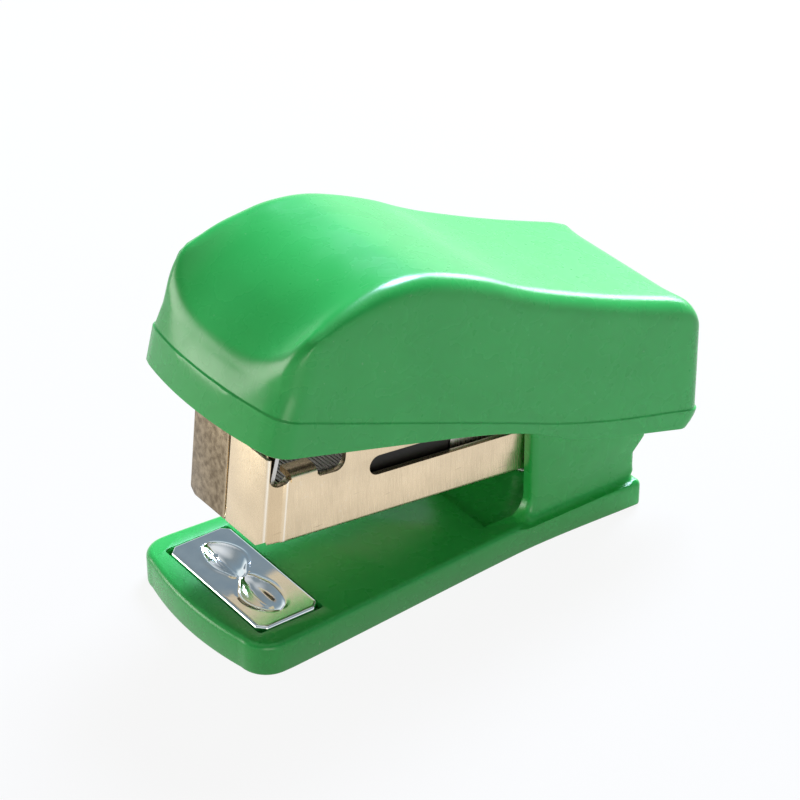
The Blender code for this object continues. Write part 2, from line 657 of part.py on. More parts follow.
def cover_height(x, y):
    """Height of the cover's upper surface: rounded at its side edges, dished and curved at the nose."""
    inset = min(COVER_HALF - abs(y), COVER_EDGE)
    rounding = COVER_EDGE - math.sqrt(max(COVER_EDGE**2 - (COVER_EDGE - inset) ** 2, 0))
    forward = max(0.0, (-x - 0.5 * COVER_REACH) / (0.5 * COVER_REACH))
    at = x - forward * COVER_NOSE_BULGE * (y / COVER_HALF) ** 2
    dish = max(0.0, 1 - (abs(y) / COVER_DISH_HALF) ** 2.5)
    return cover_top(at) + (cover_middle(at) - cover_top(at)) * dish - rounding


def make_cover(pivot):
    """A shell: rings that climb the walls and close in on a spine along the middle of the top."""
    plan = cover_plan()
    loop = plan + [(x, -y) for x, y in reversed(plan[1:-1])]
    spine_start = -0.86 * COVER_REACH
    spine_end = COVER_TAIL - 0.45 * COVER_HALF
    bm = bmesh.new()
    rings = []
    for level in (0.0, 0.06, 0.14, 0.5):
        ring = []
        for x, y in loop:
            low, high = cover_low(x), cover_height(x, y)
            z = low + (high - low) * level
            ring.append(bm.verts.new((lean(x, z), y, z)))
        rings.append(ring)
    for share in (0.0, 0.012, 0.04, 0.09, 0.16, 0.26, 0.45, 0.72):
        ring = []
        for x, y in loop:
            to = min(max(x, spine_start), spine_end)
            px, py = x + (to - x) * share, y * (1 - share)
            z = cover_height(px, py)
            ring.append(bm.verts.new((lean(px, z), py, z)))
        rings.append(ring)
    count = len(loop)
    for lower, upper in zip(rings, rings[1:]):
        for i in range(count):
            j = (i + 1) % count
            bm.faces.new((lower[i], lower[j], upper[j], upper[i]))
    spine = {}
    for x, y in loop:
        to = min(max(x, spine_start), spine_end)
        if to not in spine:
            z = cover_height(to, 0)
            spine[to] = bm.verts.new((lean(to, z), 0, z))
    for i in range(count):
        j = (i + 1) % count
        a = spine[min(max(loop[i][0], spine_start), spine_end)]
        b = spine[min(max(loop[j][0], spine_start), spine_end)]
        corners = [rings[-1][i], rings[-1][j], b]
        if a is not b:
            corners.append(a)
        bm.faces.new(corners)
    cover = place("cover", mesh_from(bm, "cover"), pivot, (GREEN, 0.32, 0))
    wall = cover.modifiers.new("wall", "SOLIDIFY")
    wall.thickness = COVER_WALL
    wall.offset = -1
    wall.use_even_offset = True

    for share in RIB_SHARES:
        x = share * BLADE_X
        top = cover_top(x) - COVER_WALL / 2
        low = (x - RIB_THICKNESS / 2, -RIB_HALF, FRAME_TOP + CLEARANCE)
        add(cover, box(low, (x + RIB_THICKNESS / 2, RIB_HALF, top)))
        for side in (-1, 1):
            skirt = FRAME_TOP - FRAME_SKIRT - CLEARANCE
            low_y, high_y = sorted((side * (FRAME_INNER + CLEARANCE), side * (COVER_HALF - COVER_WALL / 2)))
            add(cover, box((x, low_y, skirt - LUG_HEIGHT), (x + LUG_LENGTH, high_y, skirt)))
    opening = TAIL_OPENING_HALF
    cut(cover, box((COVER_TAIL / 2, -opening, -COVER_HALF), (2 * COVER_TAIL, opening, TAIL_OPENING_TOP)))


def lean(x, z):
    """The tail wall leans forward above its bulge and tucks in below it."""
    back = max(0.0, x - 0.3 * COVER_TAIL) / (0.7 * COVER_TAIL)
    above = max(0.0, z - COVER_TAIL_BULGE)
    below = max(0.0, COVER_TAIL_BULGE - z) / (COVER_TAIL_BULGE - COVER_TAIL_LOWEST)
    return x - back * (COVER_TAIL_SLOPE * above + COVER_TAIL_TUCK * below**2)


def make_cover_frame(pivot):
    """The steel channel in the cover. Its ears turn on the pin."""
    front = BLADE_X - 2 * BLADE_SHEET
    rear = -FRAME_REAR
    under = FRAME_TOP - FRAME_ROOF
    frame = place("cover_frame", box((front, -FRAME_HALF, under), (rear, FRAME_HALF, FRAME_TOP)),
                  pivot, (STEEL, 0.35, 1))
    bottom = FRAME_TOP - FRAME_SKIRT
    ear = [(front, FRAME_TOP), (front, bottom), (rear - FRAME_EAR, bottom)]
    ear += arc((0, 0), FRAME_EAR, 240, 420, 14)
    ear += [(rear, FRAME_TOP)]
    for side in (-1, 1):
        low, high = sorted((side * FRAME_INNER, side * FRAME_HALF))
        add(frame, outline_solid(ear, low, high))
    cut(frame, cylinder((0, 0, 0), (0, 1, 0), PIN_RADIUS + CLEARANCE, 4 * FRAME_HALF))
    rivet_x = BLADE_X + BLADE_FLANGE / 2
    flange_top = under - CLEARANCE
    for side in (-1, 1):
        centre = (rivet_x, side * RIVET_OFFSET, under)
        cut(frame, cylinder(centre, (0, 0, 1), RIVET_RADIUS + CLEARANCE, RIVET_HOLE_LENGTH, 16))

    lowest = FLOOR + BLADE_LOWEST
    low, high = (BLADE_X, -BLADE_HALF, lowest), (BLADE_X + BLADE_SHEET, BLADE_HALF, flange_top)
    blade = place("driver_blade", box(low, high), pivot, (STEEL, 0.25, 1))
    low = (BLADE_X, -BLADE_HALF, flange_top - BLADE_SHEET)
    add(blade, box(low, (BLADE_X + BLADE_FLANGE, BLADE_HALF, flange_top)))
    for side, name in ((-1, "blade_rivet_left"), (1, "blade_rivet_right")):
        y = side * RIVET_OFFSET
        centre = (rivet_x, y, flange_top)
        cut(blade, cylinder(centre, (0, 0, 1), RIVET_RADIUS + CLEARANCE, RIVET_HOLE_LENGTH, 16))
        low = flange_top - BLADE_SHEET - CLEARANCE
        high = FRAME_TOP + CLEARANCE
        rivet = place(name, cylinder((rivet_x, y, (low + high) / 2), (0, 0, 1), RIVET_RADIUS, high - low, 16),
                      pivot, (STEEL, 0.3, 1))
        for z in (low - RIVET_HEAD_HEIGHT / 3, high + RIVET_HEAD_HEIGHT / 3):
            add(rivet, cylinder((rivet_x, y, z), (0, 0, 1), RIVET_HEAD, RIVET_HEAD_HEIGHT, 16))


# ---------------------------------------------------------------- hinge and springs
def make_pin():
    end = FRAME_HALF + CLEARANCE + PIN_HEAD + CLEARANCE / 2
    head_low = FRAME_HALF + CLEARANCE / 2
    pin = place("hinge_pin", cylinder((PIN_X, 0, PIN_HEIGHT), (0, 1, 0), PIN_RADIUS, 2 * end, 20),
                None, (STEEL, 0.25, 1))
    head = (PIN_X, -(head_low + end) / 2, PIN_HEIGHT)
    add(pin, cylinder(head, (0, 1, 0), PIN_HEAD_RADIUS, end - head_low, 20))
    clip_at = (PIN_X, head_low + PIN_HEAD / 2, PIN_HEIGHT)
    disc = cylinder(clip_at, (0, 1, 0), PIN_HEAD_RADIUS, PIN_HEAD, 20)
    clip = place("pin_clip", disc, None, (STEEL, 0.3, 1))
    cut(clip, cylinder(clip_at, (0, 1, 0), PIN_RADIUS + CLEARANCE / 2, 4 * PIN_HEAD, 20))


def make_lift_spring():
    """The coil under the magazine that holds its nose up."""
    radius, thickness, turns = LIFT_COIL
    seat = magazine_to_world(FRONT + LIFT_STATION, FLOOR)
    slope = radius * math.sin(TILT)
    low = POST_FLOOR + CLEARANCE + thickness
    high = seat.z - slope - CLEARANCE - thickness
    points = coil((seat.x, 0, low), (seat.x, 0, high), radius, turns)
    place("lift_spring", wire(points, thickness), None, (STEEL, 0.3, 1))


def make_return_spring(pivot):
    """A torsion spring on the pin, with one leg on the rail and the other under the cover's frame."""
    radius, thickness, turns = RETURN_COIL
    half = turns * thickness * 2.6 / 2
    body = coil((0, -half, 0), (0, half, 0), radius, turns)
    first, last = body[0], body[-1]
    lower = Vector((-RETURN_LEG_DOWN, first.y, FLOOR + RAIL_TOP + CLEARANCE + thickness))
    press = math.radians(COVER_TILT - MAGAZINE_TILT)
    under = FRAME_TOP - FRAME_ROOF
    reach = RETURN_LEG_UP
    upper_z = reach * math.sin(press) + under * math.cos(press) - CLEARANCE - 1.2 * thickness
    upper = Vector((-reach * math.cos(press) + under * math.sin(press), last.y, upper_z))
    place("return_spring", wire([lower, *body, upper], thickness), pivot, (STEEL, 0.3, 1))


clear_scene()
PARTS = new_collection("stapler")
CUTTERS = new_collection("stapler_cutters", hidden=True)
magazine_pivot = empty("magazine_pivot", (PIN_X, 0, PIN_HEIGHT), MAGAZINE_TILT)
pusher_slide = empty("pusher_slide", (0, 0, 0), 0, magazine_pivot)
cover_pivot = empty("cover_pivot", (PIN_X, 0, PIN_HEIGHT), COVER_TILT)
make_base()
make_anvil()
make_magazine(magazine_pivot)
make_rail(magazine_pivot)
make_strip(magazine_pivot)
make_pusher(pusher_slide)
make_rod(magazine_pivot)
make_cover(cover_pivot)
make_cover_frame(cover_pivot)
make_pin()
make_lift_spring()
make_return_spring(magazine_pivot)
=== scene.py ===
"""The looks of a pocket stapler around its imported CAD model: green plastic, folded steel and a chromed anvil.

Shapes are written in millimetres. The base's are in the model's own frame. The magazine's and the cover's are
in frames on the hinge pin, with X towards the tail and Z up, tilted as those two rest.
"""

import json
import math

import bmesh
import bpy
import numpy as np
from mathutils import Matrix, Vector


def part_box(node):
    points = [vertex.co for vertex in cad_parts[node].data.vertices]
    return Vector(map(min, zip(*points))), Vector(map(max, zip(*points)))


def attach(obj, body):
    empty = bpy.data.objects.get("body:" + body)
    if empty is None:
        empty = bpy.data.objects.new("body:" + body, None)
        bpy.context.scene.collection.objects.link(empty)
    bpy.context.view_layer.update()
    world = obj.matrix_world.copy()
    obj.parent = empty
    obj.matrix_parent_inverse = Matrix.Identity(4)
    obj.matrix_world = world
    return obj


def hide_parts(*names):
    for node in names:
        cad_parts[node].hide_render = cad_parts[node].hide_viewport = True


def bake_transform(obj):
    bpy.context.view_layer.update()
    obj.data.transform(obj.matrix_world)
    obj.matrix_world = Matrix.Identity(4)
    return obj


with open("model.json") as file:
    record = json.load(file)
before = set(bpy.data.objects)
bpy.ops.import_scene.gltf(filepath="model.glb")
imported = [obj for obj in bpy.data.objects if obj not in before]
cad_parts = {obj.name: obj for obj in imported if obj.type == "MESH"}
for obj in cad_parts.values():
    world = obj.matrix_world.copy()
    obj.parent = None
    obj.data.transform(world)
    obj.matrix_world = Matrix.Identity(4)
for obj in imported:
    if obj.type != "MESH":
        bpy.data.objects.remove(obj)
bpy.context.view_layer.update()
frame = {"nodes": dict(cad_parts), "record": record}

MM = 0.001
BEHAVIOUR = frame["record"]["behaviour"]
JOINTS = {joint["name"]: joint for joint in BEHAVIOUR["joints"]}
PIN = Vector(JOINTS["cover_hinge"]["pos_m"]) / MM
SLIDE = JOINTS["pusher_slide"]["axis"]
MAGAZINE_TILT = math.atan2(-SLIDE[2], SLIDE[0])
COVER_TILT = math.radians(14.9)

WORLD = Matrix.Scale(MM, 4)
MAGAZINE = WORLD @ Matrix.Translation(PIN) @ Matrix.Rotation(MAGAZINE_TILT, 4, "Y")
COVER = WORLD @ Matrix.Translation(PIN) @ Matrix.Rotation(COVER_TILT, 4, "Y")

# the magazine's front and floor, in its own frame, and the lift spring's distance behind that front
FRONT = -46.46
FLOOR = -7.5
LIFT = 42.8
PIN_HOLE = 1.4


# ---------------------------------------------------------------- mesh helpers
def in_magazine(x, z):
    """A point of the magazine's middle plane, in the model's own frame."""
    return (MAGAZINE @ Vector((x, 0, z))) / MM


def box_mm(node):
    low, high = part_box(node)
    return low / MM, high / MM


def smoothed(knots, at):
    """Values on a smooth curve through (place, value) knots in rising order, for an array of places."""
    xs = np.array([k[0] for k in knots], float)
    ys = np.array([k[1] for k in knots], float)
    slopes = np.empty_like(ys)
    slopes[1:-1] = (ys[2:] - ys[:-2]) / (xs[2:] - xs[:-2])
    slopes[0], slopes[-1] = slopes[1], slopes[-2]
    at = np.clip(np.asarray(at, float), xs[0], xs[-1])
    i = np.clip(np.searchsorted(xs, at, side="left") - 1, 0, len(xs) - 2)
    span = xs[i + 1] - xs[i]
    u = (at - xs[i]) / span
    rise = ys[i + 1] - ys[i]
    a = slopes[i] * span - rise
    b = -slopes[i + 1] * span + rise
    return (1 - u) * ys[i] + u * ys[i + 1] + u * (1 - u) * ((1 - u) * a + u * b)


def step(edge0, edge1, at):
    """Rises smoothly from 0 at edge0 to 1 at edge1, or falls if edge1 comes first."""
    t = np.clip((np.asarray(at, float) - edge0) / (edge1 - edge0), 0, 1)
    return t * t * (3 - 2 * t)


def arc(centre, radius, start, end, count):
    angles = np.radians(np.linspace(start, end, count + 1))
    return [(centre[0] + radius * math.cos(a), centre[1] + radius * math.sin(a)) for a in angles]


def mesh_of(points, faces):
    """A mesh with its doubled points merged and its faces turned outward."""
    made = bpy.data.meshes.new("mesh")
    made.from_pydata([tuple(p) for p in points], [], [tuple(f) for f in faces])
    bm = bmesh.new()
    bm.from_mesh(made)
    bmesh.ops.remove_doubles(bm, verts=bm.verts, dist=1e-5)
    bmesh.ops.recalc_face_normals(bm, faces=bm.faces)
    bm.to_mesh(made)
    bm.free()
    return made


def loft(rings, caps=True):
    """A skin over rings of equally many points, closed round each ring, with flat ends."""
    points = [p for ring in rings for p in ring]
    n = len(rings[0])
    faces = []
    for r in range(len(rings) - 1):
        for i in range(n):
            j = (i + 1) % n
            faces.append((r * n + i, r * n + j, (r + 1) * n + j, (r + 1) * n + i))
    if caps:
        faces.append(tuple(range(n)))
        faces.append(tuple(range((len(rings) - 1) * n, len(rings) * n)))
    return mesh_of(points, faces)


def prism(outline, low, high, axis="Z"):
    """A flat outline given a thickness: (x, y) points along Z, (x, z) along Y or (y, z) along X."""
    place = {
        "Z": lambda u, v, w: (u, v, w),
        "Y": lambda u, v, w: (u, w, v),
        "X": lambda u, v, w: (w, u, v),
    }[axis]
    return loft([[place(u, v, w) for u, v in outline] for w in (low, high)])


def block(low, high):
    outline = [(low[0], low[1]), (high[0], low[1]), (high[0], high[1]), (low[0], high[1])]
    return prism(outline, low[2], high[2])


def rounded(low, high, radius, count=6):
    """A rectangle's outline with rounded corners."""
    (x0, y0), (x1, y1) = low, high
    return (
        arc((x1 - radius, y1 - radius), radius, 0, 90, count)
        + arc((x0 + radius, y1 - radius), radius, 90, 180, count)
        + arc((x0 + radius, y0 + radius), radius, 180, 270, count)
        + arc((x1 - radius, y0 + radius), radius, 270, 360, count)
    )


def drum(centre, axis, radius, length, sides=40):
    """A cylinder about its centre."""
    bm = bmesh.new()
    turn = Vector(axis).to_track_quat("Z", "Y").to_matrix().to_4x4()
    bmesh.ops.create_cone(
        bm, cap_ends=True, segments=sides, radius1=radius, radius2=radius, depth=length,
        matrix=Matrix.Translation(centre) @ turn,
    )
    made = bpy.data.meshes.new("drum")
    bm.to_mesh(made)
    bm.free()
    return made


def tube(path, radius, sides=12):
    """A round wire along the points, with flat ends."""
    path = [Vector(p) for p in path]
    rings = []
    side = None
    for i, p in enumerate(path):
        along = (path[min(i + 1, len(path) - 1)] - path[max(i - 1, 0)]).normalized()
        if side is None:
            side = along.orthogonal().normalized()
        side = (side - along * side.dot(along)).normalized()
        other = along.cross(side)
        rings.append([
            p + radius * (math.cos(a) * side + math.sin(a) * other)
            for a in (2 * math.pi * k / sides for k in range(sides))
        ])
    return loft(rings)


def helix(start, end, radius, turns, steps=28):
    """The points of a coil from start to end, with so many steps to a turn."""
    start, end = Vector(start), Vector(end)
    turn = (end - start).to_track_quat("Z", "Y")
    count = round(turns * steps)
    found = []
    for i in range(count + 1):
        angle = 2 * math.pi * turns * i / count
        around = Vector((radius * math.cos(angle), radius * math.sin(angle), 0))
        found.append(start.lerp(end, i / count) + turn @ around)
    return found


def joined(meshes):
    """Several closed meshes as one mesh."""
    bm = bmesh.new()
    for mesh in meshes:
        bm.from_mesh(mesh)
    made = bpy.data.meshes.new("joined")
    bm.to_mesh(made)
    bm.free()
    return made


def carved(body, changes, bevel=0.0, segments=2, angle=50):
    """A mesh with Booleans in order, as (operation, mesh) pairs, and then a small bevel on its sharp edges."""
    scene = bpy.context.scene.collection
    target = bpy.data.objects.new("carved", body)
    scene.objects.link(target)
    helpers = []
    for k, (operation, mesh) in enumerate(changes):
        helper = bpy.data.objects.new(f"helper{k}", mesh)
        scene.objects.link(helper)
        helpers.append(helper)
        modifier = target.modifiers.new("boolean", "BOOLEAN")
        modifier.operation = {"+": "UNION", "-": "DIFFERENCE"}[operation]
        modifier.object = helper
        modifier.solver = "EXACT"
    if bevel:
        modifier = target.modifiers.new("bevel", "BEVEL")
        modifier.width = bevel
        modifier.segments = segments
        modifier.limit_method = "ANGLE"
        modifier.angle_limit = math.radians(angle)
        modifier.miter_outer = "MITER_ARC"
    bpy.context.view_layer.update()
    graph = bpy.context.evaluated_depsgraph_get()
    made = bpy.data.meshes.new_from_object(target.evaluated_get(graph))
    for extra in (target, *helpers):
        bpy.data.objects.remove(extra)
    return made


def piece(name, mesh, space, finish, body, replaces=(), smooth=35, ride=True):
    """A visible piece: its mesh is moved into the model's frame, finished, and given its body."""
    mesh = mesh.copy()
    mesh.transform(space)
    mesh.name = name
    mesh.materials.clear()
    mesh.materials.append(finish)
    for polygon in mesh.polygons:
        polygon.material_index = 0
    mesh.shade_smooth()
    mesh.set_sharp_from_angle(angle=math.radians(smooth))
    made = bpy.data.objects.new(name, mesh)
    bpy.context.scene.collection.objects.link(made)
    if ride:
        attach(made, body)
    if replaces:
        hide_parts(*replaces)
    return made


# ---------------------------------------------------------------- materials
class Finish:
    """A node material whose patterns are laid out in millimetres on the object."""

    def __init__(self, name, colour, metallic=0.0, roughness=0.4, **sockets):
        self.material = bpy.data.materials.new(name)
        self.material.use_nodes = True
        self.tree = self.material.node_tree
        self.shader = self.tree.nodes["Principled BSDF"]
        self.shader.inputs["Base Color"].default_value = (*colour, 1)
        self.shader.inputs["Metallic"].default_value = metallic
        self.shader.inputs["Roughness"].default_value = roughness
        for key, value in sockets.items():
            self.shader.inputs[key.replace("_", " ")].default_value = value
        self.where = self.tree.nodes.new("ShaderNodeTexCoord").outputs["Object"]

    def node(self, kind, values=None, links=None, **settings):
        made = self.tree.nodes.new(kind)
        for key, value in settings.items():
            setattr(made, key, value)
        for key, value in (values or {}).items():
            made.inputs[key].default_value = value
        for key, source in (links or {}).items():
            self.tree.links.new(source, made.inputs[key])
        return made

    def mapped(self, scale=(1, 1, 1), turn=(0, 0, 0)):
        """The object's coordinates in millimetres, stretched by scale."""
        values = {"Scale": tuple(s / MM for s in scale), "Rotation": turn}
        return self.node("ShaderNodeMapping", values, {"Vector": self.where}).outputs["Vector"]

    def noise(self, scale, detail=2.0, stretch=(1, 1, 1), turn=(0, 0, 0), roughness=0.5):
        return self.node(
            "ShaderNodeTexNoise", {"Scale": scale, "Detail": detail, "Roughness": roughness},
            {"Vector": self.mapped(stretch, turn)},
        ).outputs["Fac"]

    def ramp(self, source, low, high, at=(0.0, 1.0), soft=False):
        """Maps source between two places to a value from low to high."""
        return self.node(
            "ShaderNodeMapRange",
            {"From Min": at[0], "From Max": at[1], "To Min": low, "To Max": high},
            {"Value": source}, interpolation_type="SMOOTHSTEP" if soft else "LINEAR",
        ).outputs["Result"]

    def blend(self, share, base, over, mode="MIX"):
        """Two colours mixed by share. Each is a socket or plain numbers."""
        made = self.node("ShaderNodeMix", data_type="RGBA", blend_type=mode)
        for index, value in ((0, share), (6, base), (7, over)):
            if hasattr(value, "is_output"):
                self.tree.links.new(value, made.inputs[index])
            elif isinstance(value, (int, float)):
                made.inputs[index].default_value = value
            else:
                made.inputs[index].default_value = (*value, 1) if len(value) == 3 else value
        return made.outputs[2]

    def sum(self, a, b, operation="ADD"):
        """Two values added, or combined by another operation. Each is a socket or a number."""
        made = self.node("ShaderNodeMath", operation=operation)
        for index, value in ((0, a), (1, b)):
            if hasattr(value, "is_output"):
                self.tree.links.new(value, made.inputs[index])
            else:
                made.inputs[index].default_value = value
        return made.outputs[0]

    def bump(self, height, depth, strength=1.0):
        """depth is in millimetres."""
        made = self.node(
            "ShaderNodeBump", {"Distance": depth * MM, "Strength": strength}, {"Height": height}
        )
        self.tree.links.new(made.outputs["Normal"], self.shader.inputs["Normal"])

    def set(self, key, source):
        self.tree.links.new(source, self.shader.inputs[key])


def green_plastic(name, seed=0.0):
    """Satin moulded plastic: a faint mottle, fine texture, a few pale specks and scuffs."""
    f = Finish(name, (0.024, 0.470, 0.090), roughness=0.27, Specular_IOR_Level=0.5)
    mottle = f.ramp(f.noise(0.11, 3), 0.0, 1.0, (0.35, 0.65))
    colour = f.blend(mottle, (0.027, 0.440, 0.076), (0.032, 0.470, 0.084))
    specks = f.ramp(f.noise(1.7, 1, turn=(seed, 0.4, 0.2)), 0.0, 1.0, (0.77, 0.82), True)
    colour = f.blend(f.sum(specks, 0.35, "MULTIPLY"), colour, (0.35, 0.62, 0.33))
    scuffs = f.ramp(f.noise(0.9, 3, (0.12, 1.6, 1.0), (0.3, 0.2, 0.7 + seed)), 0.0, 1.0, (0.70, 0.80), True)
    colour = f.blend(f.sum(scuffs, 0.08, "MULTIPLY"), colour, (0.20, 0.55, 0.25))
    f.set("Base Color", colour)
    fine = f.noise(9.0, 2)
    gloss = f.ramp(f.noise(0.35, 2), 0.25, 0.30, (0.3, 0.7))
    f.set("Roughness", f.sum(gloss, f.sum(scuffs, 0.02, "MULTIPLY")))
    f.bump(f.sum(fine, f.sum(f.noise(0.22, 1), 3.0, "MULTIPLY")), 0.0025, 0.5)
    return f.material


def painted_front_light(f, base, colour, front):
    """Painted light on the magazine's front: highlights on its two bent creases, painted shade on the band
    between them and a painted dark reflection on its far flap.
    """
    along = (math.cos(MAGAZINE_TILT), 0, -math.sin(MAGAZINE_TILT))
    split = f.node("ShaderNodeSeparateXYZ", links={"Vector": f.where})
    back = f.node("ShaderNodeVectorMath", {1: along}, {0: f.where}, operation="DOT_PRODUCT").outputs["Value"]

    def ridge(rise, fall):
        """1 between two places behind the front, given as (start, end) of the rise and of the fall."""
        return f.sum(
            f.ramp(back, 0.0, 1.0, tuple((front + at) * MM for at in rise)),
            f.ramp(back, 1.0, 0.0, tuple((front + at) * MM for at in fall)), "MULTIPLY",
        )

    # painted shade on the band between the two bends, darker and browner than the steel
    band_shade = tuple(c * k for c, k in zip(colour, (0.80, 0.74, 0.66)))
    base = f.blend(f.sum(ridge((0.4, 0.6), (2.1, 2.3)), 0.55, "MULTIPLY"), base, band_shade)
    # painted highlights along the two bends behind the front corners
    for crease in (0.22, 2.55):
        line = ridge((crease - 0.16, crease), (crease, crease + 0.16))
        base = f.blend(f.sum(line, 0.85, "MULTIPLY"), base, (0.96, 0.90, 0.80))
    # painted dark reflection on the far flap, made uneven in patches by noise
    flap = f.ramp(back, 1.0, 0.0, ((front + 0.02) * MM, (front + 0.12) * MM))
    flap = f.sum(flap, f.ramp(split.outputs["Y"], 0.0, 1.0, (-0.3 * MM, 0.6 * MM)), "MULTIPLY")
    patch = f.ramp(f.noise(1.4, 5), 0.62, 0.88, (0.35, 0.65))
    return f.blend(f.sum(flap, patch, "MULTIPLY"), base, (0.10, 0.07, 0.04))


def folded_steel(name, colour, rough, grain=(1, 1, 0.05), spots=0.0, front=None):
    """Rolled sheet with fine brushing, faint stains and a few scratches.

    Where front is given, as the magazine's front along its own length in millimetres, the two creases behind
    its front corners get painted highlights, the band between them painted shade, the far flap a painted dark
    reflection.
    """
    f = Finish(name, colour, metallic=1.0, roughness=rough)
    lines = f.noise(11.0, 3, grain)
    stain = f.noise(0.25, 4)
    dark = tuple(c * 0.90 for c in colour)
    pale = tuple(min(1, c * 1.05) for c in colour)
    base = f.blend(f.ramp(stain, 0.0, 1.0, (0.30, 0.70)), dark, pale)
    base = f.blend(f.ramp(lines, 0.0, 0.35, (0.35, 0.75)), base, tuple(c * 0.72 for c in colour))
    scratch = f.ramp(f.noise(1.1, 2, (0.22, 1, 2.6), (0.2, 0.1, 0.3)), 0.0, 1.0, (0.73, 0.76), True)
    base = f.blend(f.sum(scratch, 0.45, "MULTIPLY"), base, tuple(c * 0.45 for c in colour))
    if spots:
        dots = f.ramp(f.noise(2.6, 2), 0.0, 1.0, (0.66, 0.74), True)
        base = f.blend(f.sum(dots, spots, "MULTIPLY"), base, (0.8, 0.8, 0.78))
    # painted light on the magazine's front: crease highlights, band shade and a dark reflection on the far flap
    if front is not None:
        base = painted_front_light(f, base, colour, front)
    f.set("Base Color", base)
    f.set("Roughness", f.ramp(lines, rough - 0.06, rough + 0.10, (0.3, 0.7)))
    f.bump(f.sum(lines, f.sum(stain, 1.5, "MULTIPLY")), 0.004, 0.6)
    return f.material


def chrome(name):
    """Bright plating, faintly smeared and a little uneven."""
    f = Finish(name, (0.82, 0.86, 0.90), metallic=1.0, roughness=0.09)
    smear = f.noise(0.5, 4)
    f.set("Roughness", f.ramp(smear, 0.05, 0.13, (0.3, 0.75)))
    f.set("Base Color", f.blend(f.ramp(smear, 0, 1, (0.3, 0.7)), (0.78, 0.81, 0.84), (0.88, 0.88, 0.87)))
    f.bump(f.noise(0.6, 2), 0.010, 0.4)
    return f.material


def black_plastic(name):
    f = Finish(name, (0.010, 0.009, 0.008), roughness=0.35, Specular_IOR_Level=0.3)
    f.set("Base Color", f.blend(f.noise(0.8, 3), (0.006, 0.005, 0.005), (0.014, 0.011, 0.009)))
    f.set("Roughness", f.ramp(f.noise(2.0, 3), 0.28, 0.45))
    f.bump(f.noise(7.0, 2), 0.006, 0.5)
    return f.material


def spring_wire(name):
    f = Finish(name, (0.55, 0.54, 0.52), metallic=1.0, roughness=0.25)
    f.set("Base Color", f.blend(f.noise(1.5, 3), (0.42, 0.41, 0.39), (0.66, 0.65, 0.62)))
    f.set("Roughness", f.ramp(f.noise(3.0, 2), 0.18, 0.36))
    return f.material


# ---------------------------------------------------------------- cover
# Seen from the side in its own frame, it runs from -REACH to TAIL and HALF to each side.
REACH = 52.1
TAIL = 11.1
HALF = 13.0
LOWEST = -3.5
TAIL_BULGE = -1.1         # the rear wall stands furthest out at this height
NOSE_BULGE = 1.9          # the nose's middle stands this far ahead of its corners
NOSE_CORNER = 2.1
TAIL_CORNER = 2.0
NOSE_LEAN = (0.20, 0.03)  # back per millimetre of rise, on the facet above the band and over it
FACET_HEIGHT = 2.8
WALL = 1.2
BAND_PROUD = 0.16         # the lower band stands this far out
DISH_HALF = 12.4
TOP_REAR = [
    (-30.22, 18.1), (-24.75, 17.2), (-20.06, 16.0), (-15.63, 15.1), (-6.25, 13.7), (3.13, 12.7),
    (11.20, 12.0),
]
TOP_EDGE = [
    (-52.80, 8.4), (-52.10, 10.6), (-51.30, 12.1), (-50.28, 13.2), (-48.19, 14.7), (-45.85, 15.9),
    (-43.24, 16.8), (-39.60, 17.9), (-34.65, 18.4), *TOP_REAR,
]
TOP_MIDDLE = [
    (-52.10, 5.0), (-51.70, 5.7), (-51.27, 6.4), (-50.28, 7.8), (-48.30, 10.5), (-46.20, 13.0),
    (-43.80, 15.1), (-41.00, 16.7), (-37.80, 17.8), (-34.65, 18.35), *TOP_REAR,
]
LOW_EDGE = [
    (-52.1, -0.4), (-26.0, -0.6), (-18.8, -0.9), (-13.5, -1.6), (-8.3, -2.8), (-3.6, -3.2), (11.2, LOWEST),
]
BAND_LINE = [
    (-52.1, 3.75), (-48.1, 3.5), (-41.0, 2.7), (-27.1, 1.2), (-16.8, 0.0), (-11.2, -0.7), (-2.8, -1.2),
    (11.2, -1.2),
]
EDGE_ROUND = {"side": 2.2, "front": 1.1, "rear": 4.0}


def cover_plan():
    """The cover's plan, all round."""
    half = []
    cx = -REACH + NOSE_BULGE + NOSE_CORNER
    cy = HALF - NOSE_CORNER
    for y in np.linspace(0, cy, 27)[:-1]:
        half.append((-REACH + NOSE_BULGE * (y / HALF) ** 2, y))
    half += arc((cx, cy), NOSE_CORNER, 172, 90, 14)
    tx = TAIL - TAIL_CORNER
    for x in np.linspace(cx, tx, 92)[1:-1]:
        half.append((x, HALF))
    half += arc((tx, HALF - TAIL_CORNER), TAIL_CORNER, 90, 0, 8)
    for y in np.linspace(HALF - TAIL_CORNER, 0, 16)[1:]:
        half.append((TAIL, y))
    half = np.array(half)
    return np.vstack([half, (half * (1, -1))[-2:0:-1]])


def cover_roof(x, y):
    """The top's height: dished at the nose, between its two raised edges."""
    forward = step(-26, -50, x)
    at = x - forward * NOSE_BULGE * (y / HALF) ** 2
    dish = (1 - np.clip(np.abs(y) / DISH_HALF, 0, 1) ** 3.6) ** 1.1
    edge = smoothed(TOP_EDGE, at)
    return edge - (edge - smoothed(TOP_MIDDLE, at)) * dish


def rounded_meet(a, b, radius):
    """Where two surfaces cut each other off, as distances outside them, with a round edge between."""
    both = np.hypot(np.clip(a + radius, 0, None), np.clip(b + radius, 0, None)) - radius
    return np.where((a > -radius) & (b > -radius), both, np.maximum(a, b))


